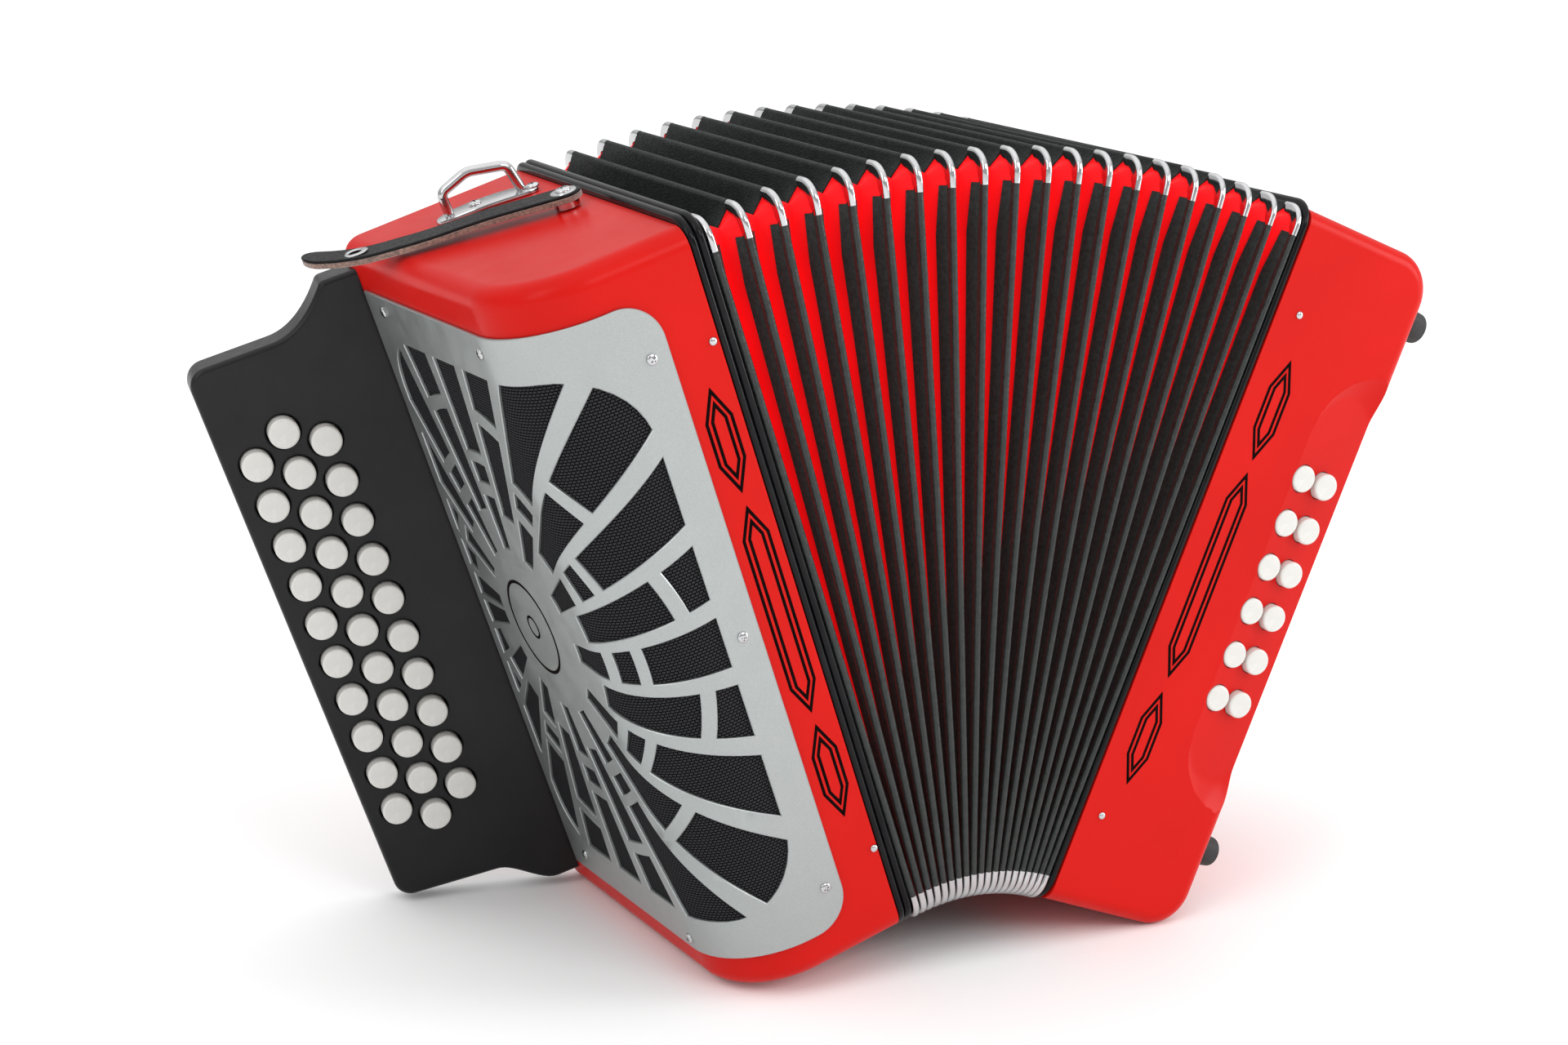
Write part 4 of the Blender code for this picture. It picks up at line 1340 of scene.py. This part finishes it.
def cloth_ring(pose, along, extra):
    depth = fold_depth(along)
    radius = max(BELLOWS_CORNER - cloth_inset(depth, 0.0) - extra, CORNER_LEAST)
    high = BELLOWS_HEIGHT - BELLOWS_CORNER
    far = HALF_DEPTH - BELLOWS_CORNER
    ring = []
    for side, y, z, start in (("top", far, high, 0), ("front", -far, high, 90),
                              ("bottom", -far, BELLOWS_CORNER, 180),
                              ("back", far, BELLOWS_CORNER, 270)):
        ring += arc((y, z), radius, start, start + 90, 6)
        points = [on_side(side, spot, cloth_inset(depth, from_corner) + extra)
                  for spot, from_corner in side_spots(side)]
        ring += points[::-1] if side in ("top", "front") else points
    return [fan_point(pose, 0.0, y, z) for y, z in ring]


def add_cloth(half):
    """The folded cloth, outside and lining, from one end of this half to the other."""
    start, end = ((0, MIDDLE_ALONG), (MIDDLE_ALONG, FRAME_COUNT - 1))[half]
    quarters = [tick / 4 for tick in range(4 * (FRAME_COUNT - 1) + 1)]
    shape = Shape()
    outer = []
    inner = []
    for along in [start, *[place for place in quarters if start < place < end], end]:
        pose = pose_at(along)
        weight = follow(pose[2], half)
        outer.append(shape.ring(cloth_ring(pose, along, 0.0), weight))
        inner.append(shape.ring(cloth_ring(pose, along, LINING), weight))
    shape.loft(outer)
    shape.loft(inner)
    shape.bridge(outer[0], inner[0])
    shape.bridge(outer[-1], inner[-1])
    bend("bellows_cloth", shape, "cloth_red_painted_glow", half, ["bellows"])


def bead_section(half_width, depth):
    """A closed (across, inset) section with a round outer side."""
    angles = [radians(angle) for angle in stops(180, 0, 8)]
    points = [(half_width * cos(angle), half_width * (1 - sin(angle))) for angle in angles]
    return points + [(half_width, depth), (-half_width, depth)]


def add_beads(half):
    """The leather-bound rim of each bellows frame."""
    shape = Shape()
    for index in frames_of(half):
        pose = POSES[index]
        width = BEAD_SHARE * fold_pitch(index)
        rings = []
        for across, inset in bead_section(width, BEAD_DEPTH):
            outline = rounded_rectangle(BELLOWS_HEIGHT, inset, BELLOWS_CORNER - inset, 6, 6)
            rings.append(shape.ring([fan_point(pose, across, y, z) for y, z in outline],
                                    follow(pose[2], half)))
        shape.loft(rings, looped=True)
    bend("bellows_beads", shape, "bead", half)


def strip_line(pose, side, across, inset_at):
    """Points along one side of a frame, between its corner caps, drawn in by inset_at."""
    return [fan_point(pose, across, *on_side(side, spot, inset_at(from_corner)))
            for spot, from_corner in side_spots(side)]


def card_line(index, facing, side, depth, lift):
    """A line on a card next to a frame, lifted off it, and the lean that it follows."""
    pose = pose_at(min(max(index + facing * depth / 2, 0.0), FRAME_COUNT - 1))
    points = strip_line(pose, side, facing * lift, lambda distance: cloth_inset(depth, distance))
    return points, pose[2]


def rim_line(index, side, across, inset):
    return strip_line(POSES[index], side, across, lambda distance: inset), POSES[index][2]


def add_strips(half, name, surface, section_of):
    """Strips along the sides of the frames; section_of(index) gives the lines of each one."""
    shape = Shape()
    for index in frames_of(half):
        for lines in section_of(index):
            rings = [shape.ring(points, follow(lean, half)) for points, lean in lines]
            shape.loft(rings, closed=False, looped=True)
            shape.cap([ring[0] for ring in rings])
            shape.cap([ring[-1] for ring in rings])
    bend(name, shape, surface, half)


def tapes(index):
    """Flat tape on the front and back of the cards on both sides of a frame."""
    found = []
    levels = [(share * TAPE_DEPTH, TAPE_LIFT) for share in (0.0, 0.5, 1.0)]
    levels += [(TAPE_DEPTH, STRIP_SINK), (0.0, STRIP_SINK)]
    for facing in (-1, 1):
        if 0 <= index + facing < FRAME_COUNT:
            for side in ("front", "back"):
                found.append([card_line(index, facing, side, *level) for level in levels])
    return found


def flaps(index):
    """Leather over the top and bottom rims, down on the cards on both sides."""
    width = FLAP_SHARE * fold_pitch(index)
    found = []
    for side in ("top", "bottom"):
        lines = [rim_line(index, side, width * cos(angle), width * (1 - sin(angle)) - CAP_PROUD / 2)
                 for angle in [radians(angle) for angle in range(180, -1, -20)]]
        lines.append(rim_line(index, side, 0.0, FLAP_ROOT))
        if index > 0:
            left = [card_line(index, -1, side, stop, TAPE_LIFT) for stop in reversed(FLAP_STOPS)]
            lines = left + lines + [card_line(index, -1, side, FLAP_STOPS[-1], STRIP_SINK)]
        if index < FRAME_COUNT - 1:
            right = [card_line(index, 1, side, stop, TAPE_LIFT) for stop in FLAP_STOPS]
            right.append(card_line(index, 1, side, FLAP_STOPS[-1], STRIP_SINK))
            root = len(lines) - (2 if index > 0 else 1)
            lines[root:root] = right
        found.append(lines)
    return found


def corner_path(side, top):
    """(y, z, outward y, outward z) round one corner of a frame, with a leg at each end."""
    half = HALF_DEPTH - BELLOWS_CORNER
    centre_z = BELLOWS_HEIGHT - BELLOWS_CORNER if top > 0 else BELLOWS_CORNER
    path = []
    for step in range(11):
        angle = radians(9 * step)
        path.append((half + BELLOWS_CORNER * cos(angle), BELLOWS_CORNER * sin(angle),
                     cos(angle), sin(angle)))
    first = (path[0][0], -CAP_LEG, 1.0, 0.0)
    last = (half - CAP_LEG, path[-1][1], 0.0, 1.0)
    return [(side * y, centre_z + top * z, side * a, top * b)
            for y, z, a, b in [first, *path, last]]


def add_corner_caps(half):
    """Metal caps over the corners of each frame's rim."""
    shape = Shape()
    for index in frames_of(half):
        pose = POSES[index]
        width = CAP_SHARE * fold_pitch(index)
        section = [(across, inset - CAP_PROUD) for across, inset in bead_section(width, CAP_DEPTH)]
        for side, top in ((-1, -1), (-1, 1), (1, -1), (1, 1)):
            rings = []
            for y, z, away_y, away_z in corner_path(side, top):
                points = [fan_point(pose, across, y - drop * away_y, z - drop * away_z)
                          for across, drop in section]
                rings.append(shape.ring(points, follow(pose[2], half)))
            shape.loft(rings, ends=True)
    bend("bellows_corner_caps", shape, "chrome", half)


def add_bellows():
    for half in (0, 1):
        add_cloth(half)
        add_beads(half)
        add_strips(half, "bellows_tapes", "tape", tapes)
        add_strips(half, "bellows_flaps", "flap", flaps)
        add_corner_caps(half)


# ---------------------------------------------------------------- bass case


def bass_path(inset, start_x=BASS_MOUTH, steps=12):
    """(x, z) outline of the bass case seen from the front, with its mouth left in place."""
    corner = BASS_CORNER - inset
    far = BASS_END - BASS_CORNER
    points = [(start_x, CASE_FOOT + inset)]
    points += arc((far, CASE_FOOT + BASS_CORNER), corner, 270, 360, steps)
    points += arc((far, CASE_TOP - BASS_CORNER), corner, 0, 90, steps)
    points.append((start_x, CASE_TOP - inset))
    return points


def scoop_distance(x, z):
    """How far a point lies inside the scoop's outline, which is round at its inner corners."""
    up = min(z - SCOOP_LOW, SCOOP_HIGH - z)
    along = x - SCOOP_START
    if up < SCOOP_CORNER and along < SCOOP_CORNER:
        return SCOOP_CORNER - hypot(SCOOP_CORNER - along, SCOOP_CORNER - up)
    return min(up, along)


def scoop_depth(x, z):
    """The sloping floor, which rises to the front in a cove at each end."""
    share = min(1.0, scoop_distance(x, z) / SCOOP_COVE)
    cove = SCOOP_DEPTH * (1 - (1 - share) ** 2)
    return min((x - SCOOP_START) * tan(SCOOP_SLOPE), cove)


def scoop_cutter():
    columns, rows = SCOOP_MESH
    across = stops(SCOOP_START - SCOOP_SPARE, BASS_END + 3 * SCOOP_SPARE, columns)
    lines = []
    shape = Shape()
    for z in stops(SCOOP_LOW - SCOOP_SPARE, SCOOP_HIGH + SCOOP_SPARE, rows):
        lines.append(shape.ring([(x, -HALF_DEPTH + scoop_depth(x, z), z) for x in across]))
    shape.loft(lines, closed=False)
    rim = lines[0] + [line[-1] for line in lines[1:-1]] + lines[-1][::-1]
    rim += [line[0] for line in lines[-2:0:-1]]
    corners = [shape.points[index] for index in rim]
    lid = shape.ring([(x, -HALF_DEPTH - 3 * SCOOP_SPARE, z) for x, _, z in corners])
    shape.bridge(rim, lid)
    shape.cap(lid)
    return shape.mesh("bass_scoop")


def bass_button_spots():
    spots = []
    for x in BASS_COLUMNS:
        spots += button_column(x, BASS_ROWS, BASS_MIDDLE, BASS_PITCH)
    return spots


def add_bass_case():
    shell = rolled_shell("bass_case_shell", bass_path, -HALF_DEPTH, HALF_DEPTH, BASS_EDGE, "Y")
    inside = bass_path(WALL, BASS_MOUTH - OVERCUT, 6)
    cavity = prism("bass_cavity", inside, FRONT_WALL - HALF_DEPTH, HALF_DEPTH - WALL, "Y")
    hole = bore("bass_hole", BASS_BUTTON_RADIUS + BASS_BUTTON_GAP, FRONT_WALL + 2 * OVERCUT)
    holes = [placed(hole, Matrix.Translation((x, -HALF_DEPTH - OVERCUT, z)))
             for x, z in bass_button_spots()]
    air_hole = bore("air_hole", AIR_BUTTON_RADIUS + AIR_BUTTON_GAP, WALL + 2 * OVERCUT, (-1, 0, 0))
    air_hole = placed(air_hole, Matrix.Translation((BASS_END + OVERCUT, *AIR_BUTTON)))
    mesh = cut(shell, [cavity, scoop_cutter(), joined("bass_holes", holes), air_hole])
    piece("bass_case_shell", mesh, "red", "bass", nodes=["bass_case"], even_normals=True)


def add_bass_buttons():
    button = button_mesh("bass_button_face", BASS_BUTTON_RADIUS, BASS_BUTTON_LENGTH,
                         BASS_BUTTON_CROWN)
    add_buttons("bass", BASS, bass_button_spots(), BASS_BUTTON_FACE, button)


def add_air_button():
    air = button_mesh("air_button_face", AIR_BUTTON_RADIUS, AIR_BUTTON_LENGTH, AIR_BUTTON_CROWN,
                      (-1, 0, 0))
    piece("air_button_face", air, "white", "air_valve",
          shifted(BASS, BASS_END + AIR_BUTTON_PROUD, *AIR_BUTTON), ["air_button"])


def add_feet():
    top = FOOT_RADIUS - FOOT_TAPER - FOOT_ROLL
    profile = [(POLE, 0.0)]
    profile += [(top + FOOT_ROLL - inset, drop) for inset, drop in quarter(FOOT_ROLL, 6)]
    profile += [(FOOT_RADIUS, FOOT_LENGTH - 2 * FOOT_HEEL), (FOOT_RADIUS - FOOT_HEEL, FOOT_LENGTH)]
    mesh = turned("foot", profile, CIRCLE_SIDES, (-1, 0, 0))
    spots = [(y, z) for y in (-FOOT_Y, FOOT_Y) for z in FOOT_HEIGHTS]
    for number, spot in enumerate(spots, 1):
        piece(f"foot_{number}", mesh, "rubber", "bass",
              shifted(BASS, BASS_END + GAP + FOOT_LENGTH, *spot), [f"rubber_foot_{number}"],
              shared=True)


# ---------------------------------------------------------------- straps and bracket


def add_hand_strap():
    """A bowed leather band with rounded edges."""
    middle = sum(HAND_STRAP_Y) / 2
    thick = HAND_STRAP_THICK / 2
    half = HAND_STRAP_Y[1] - middle - thick
    section = arc((half, 0.0), thick, -90, 90, 6) + arc((-half, 0.0), thick, 90, 270, 6)
    path = []
    for share in stops(0, 1, 40):
        z = HAND_STRAP_Z[0] + share * (HAND_STRAP_Z[1] - HAND_STRAP_Z[0])
        bow = HAND_STRAP_BULGE * (1 - (2 * share - 1) ** 2)
        path.append(Vector((BASS_END + GAP + bow + thick, middle, z)))
    mesh = swept("hand_strap_leather", path, section, Vector((1.0, 0.0, 0.0)))
    piece("hand_strap_leather", mesh, "leather", "bass", nodes=["hand_strap"])


def strap_low(distance):
    """Height of the strap's underside, which clears the end frame near the stud and sags beyond."""
    past = max(0.0, distance - (STRAP_LENGTH - STRAP_TAIL)) / STRAP_TAIL
    start, end = STRAP_SAG_SPAN
    sag = STRAP_SAG * ease(min(1.0, max(0.0, (distance - start) / (end - start))))
    return STRAP_LIFT - sag + STRAP_CURL * past ** 2


def strap_outline():
    """(distance, y) points of the strap from above, round at both ends."""
    points = arc((STRAP_LENGTH - STRAP_HALF_WIDTH, 0.0), STRAP_HALF_WIDTH, -90, 90, 14)
    points += arc((0.0, 0.0), STRAP_HALF_WIDTH, 90, 270, 14)
    return even(points, STRAP_SIDE)


def strap_layer(name, low, high, roll):
    """One leather layer of the strap, with eased edges and a hole for its eyelet."""
    outline = strap_outline()
    ring = circle((EYELET_REACH, 0.0), EYELET_HOLE, 28)
    points, triangles, loops = pierced(offset(outline, -roll), [ring], STRAP_MESH)
    shape = Shape()

    def lay(outline, level):
        return shape.ring([(x, y, strap_low(x) + level) for x, y in outline])

    top = lay(points, high)
    under = lay(points, low)
    for a, b, c in triangles:
        shape.faces.append((top[a], top[b], top[c]))
        shape.faces.append((under[c], under[b], under[a]))
    shape.loft([[top[index] for index in loops[0]], lay(outline, high - roll),
                lay(outline, low + roll), [under[index] for index in loops[0]]])
    shape.loft([[top[index] for index in loops[1]], [under[index] for index in loops[1]]])
    return drop_loose(shape.mesh(name))


def strap_rig():
    return shifted(TREBLE, *STRAP_STUD, CASE_TOP) @ Matrix.Rotation(STRAP_HEADING, 4, "Z")


def add_bellows_strap():
    rig = strap_rig()
    split = STRAP_THICK * BACKING_SHARE
    upper = strap_layer("strap_top", split + LAYER_GAP, STRAP_THICK, TOP_EASE)
    piece("bellows_strap_top", upper, "leather", "strap", rig, ["bellows_strap"])
    backing = strap_layer("strap_backing", 0.0, split, BACKING_EASE)
    piece("bellows_strap_backing", backing, "suede", "strap", rig)


def add_strap_fittings():
    level = STRAP_LIFT + STRAP_THICK
    for name, mesh, x, z in (
            ("eyelet", turned("strap_eyelet", EYELET, CIRCLE_SIDES, UP, closed=True),
             EYELET_REACH, strap_low(EYELET_REACH) + STRAP_THICK),
            ("washer", turned("strap_washer", WASHER, CIRCLE_SIDES, UP, closed=True), 0.0, level),
            ("screw", cross_screw("strap_screw", *STRAP_SCREW), 0.0, level + WASHER[-1][1]),
            ("post", turned("strap_post", POST, 32, UP), 0.0, 0.0)):
        piece(f"bellows_strap_{name}", mesh, "chrome", "strap",
              shifted(strap_rig(), x, 0.0, z))


def soften(points, reach, steps):
    """Rounds the corners of a path."""
    smooth = [points[0]]
    for before, corner, after in zip(points, points[1:], points[2:]):
        start = corner + (before - corner).normalized() * reach
        end = corner + (after - corner).normalized() * reach
        for share in stops(0, 1, steps):
            smooth.append(start.lerp(corner, share).lerp(corner.lerp(end, share), share))
    return smooth + [points[-1]]


def plate_middle(x):
    """The middle line of the bracket's plate bows away from the strap."""
    return PLATE_BOW * (1 - (x / PLATE_REACH) ** 2)


def plate_outline(inset):
    """A crescent about its middle, whose hollow side faces the strap."""
    across = [PLATE_REACH * cos(radians(angle)) for angle in PLATE_ANGLES]
    points = []
    for sign, line in ((1, across), (-1, across[::-1])):
        for x in line:
            half = PLATE_HALF_WIDTH * sqrt(1 - (x / PLATE_REACH) ** 4)
            points.append((x, plate_middle(x) + sign * half))
    return offset(points, -inset)


def on_plate(x, y, level):
    return PLATE_CENTRE + x * BRACKET_ALONG + y * BRACKET_ASIDE + level * UP


def add_bracket_plate():
    shape = Shape()
    rings = []
    for inset, level in PLATE_LEVELS:
        rings.append(shape.ring([on_plate(x, y, level) for x, y in plate_outline(inset)]))
    shape.loft(rings, ends=True)
    piece("strap_bracket_plate", shape.mesh("bracket_plate"), "chrome", "treble",
          nodes=["strap_bracket"])


def add_bracket_wire():
    path = [BRACKET_FEET[0].lerp(BRACKET_FEET[1], share) + height * UP for share, height in
            ((0.0, PLATE_THICK / 3), *BRACKET_BENDS, (1.0, PLATE_THICK / 3))]
    section = circle((0.0, 0.0), WIRE_RADIUS, 20)
    mesh = swept("bracket_wire", soften(path, WIRE_BEND, 8), section, BRACKET_ASIDE)
    piece("strap_bracket_wire", mesh, "chrome", "treble")


def add_bracket_screws():
    head = cross_screw("bracket_screw", *BRACKET_SCREW)
    for number, share in enumerate(BRACKET_SCREW_SHARES, 1):
        x = (share - 0.5) * BRACKET_SPAN
        piece(f"strap_bracket_screw_{number}", head.copy(), "chrome", "treble",
              shifted(TREBLE, *on_plate(x, plate_middle(x), PLATE_THICK)))


# ---------------------------------------------------------------- printed lines


def line_mesh(name, points):
    """A closed line printed on the front, from (x, z) points."""
    low, high = INK_LEVELS
    half = ORNAMENT_LINE / 2
    shape = Shape()
    rings = []
    for growth, level in ((half, low), (half, high), (-half, high), (-half, low)):
        rings.append(shape.ring([(x, -HALF_DEPTH - level, z) for x, z in offset(points, growth)]))
    shape.loft(rings, looped=True)
    return shape.mesh(name)


def add_ornaments():
    """Long double lozenges in plain lines."""
    tip = ORNAMENT_TIP * ORNAMENT_HALF
    for body, name, x, low, high in ORNAMENTS:
        lines = []
        for inset in (0.0, ORNAMENT_STEP):
            half = ORNAMENT_HALF - inset
            point = ORNAMENT_TIP * inset
            lines.append(line_mesh(name, [
                (x, low + point), (x + half, low + tip), (x + half, high - tip),
                (x, high - point), (x - half, high - tip), (x - half, low + tip)]))
        piece(f"ornament_{name}", joined(name, lines), "ink", body)


# ---------------------------------------------------------------- studio


def add_floor():
    half = FLOOR_SIDE / 2
    shape = Shape()
    shape.cap(shape.ring([(-half, -half, 0), (half, -half, 0), (half, half, 0), (-half, half, 0)]))
    mesh = shape.mesh("floor")
    mesh.materials.append(pale_floor())
    linked("floor", mesh)


def add_world():
    """Light from all round, bright above and darker low down."""
    world = bpy.data.worlds.new("studio")
    world.use_nodes = True
    nodes = world.node_tree.nodes
    links = world.node_tree.links
    nodes["Background"].inputs["Strength"].default_value = WORLD_LIGHT
    towards = nodes.new("ShaderNodeTexCoord")
    height = nodes.new("ShaderNodeVectorMath")
    height.operation = "DOT_PRODUCT"
    height.inputs[1].default_value = WORLD_UP
    ramp = nodes.new("ShaderNodeMapRange")
    ramp.inputs["From Min"].default_value = WORLD_RAMP[0]
    ramp.inputs["From Max"].default_value = WORLD_RAMP[1]
    ramp.inputs["To Min"].default_value = WORLD_DARKEST
    links.new(towards.outputs["Generated"], height.inputs[0])
    links.new(height.outputs["Value"], ramp.inputs["Value"])
    links.new(ramp.outputs["Result"], nodes["Background"].inputs["Color"])
    bpy.context.scene.world = world


def add_softboxes():
    middle = (cad_box[0] + cad_box[1]) / 2
    for name, place, size, power in SOFTBOXES:
        light = bpy.data.lights.new(name, "AREA")
        light.energy = power
        light.shape = "RECTANGLE"
        light.size, light.size_y = size
        lamp = linked(name, light)
        lamp.location = place
        lamp.rotation_euler = (middle - Vector(place)).to_track_quat("-Z", "Y").to_euler()


def add_camera():
    lens = bpy.data.cameras.new("camera")
    lens.lens = CAMERA_LENS
    lens.sensor_width = SENSOR_WIDTH
    lens.shift_x, lens.shift_y = CAMERA_SHIFT
    lens.clip_start, lens.clip_end = CLIP
    camera = linked("camera", lens)
    camera.location = CAMERA_PLACE
    camera.rotation_euler = [radians(angle) for angle in CAMERA_TURN]
    bpy.context.scene.camera = camera
    bpy.context.scene.view_settings.view_transform = "Standard"


def dress_frame_nodes():
    """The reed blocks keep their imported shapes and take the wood."""
    for node in ("treble_reed_block", "bass_reed_block"):
        held = frame["nodes"][node]
        held.data.materials.clear()
        held.data.materials.append(SURFACES["wood"])


add_camera()
add_floor()
add_world()
add_softboxes()
dress_frame_nodes()
add_treble_case()
add_grille_plate()
add_grille_cloth()
add_hub()
add_grille_screws()
add_fingerboard()
add_treble_buttons()
add_end_frame("treble", TREBLE_FRAME, 2)
add_end_frame("bass", BASS_FRAME, 1)
add_bellows()
add_bass_case()
add_bass_buttons()
add_air_button()
add_feet()
add_hand_strap()
add_bellows_strap()
add_strap_fittings()
add_bracket_plate()
add_bracket_wire()
add_bracket_screws()
add_pins()
add_ornaments()

bpy.context.view_layer.update()
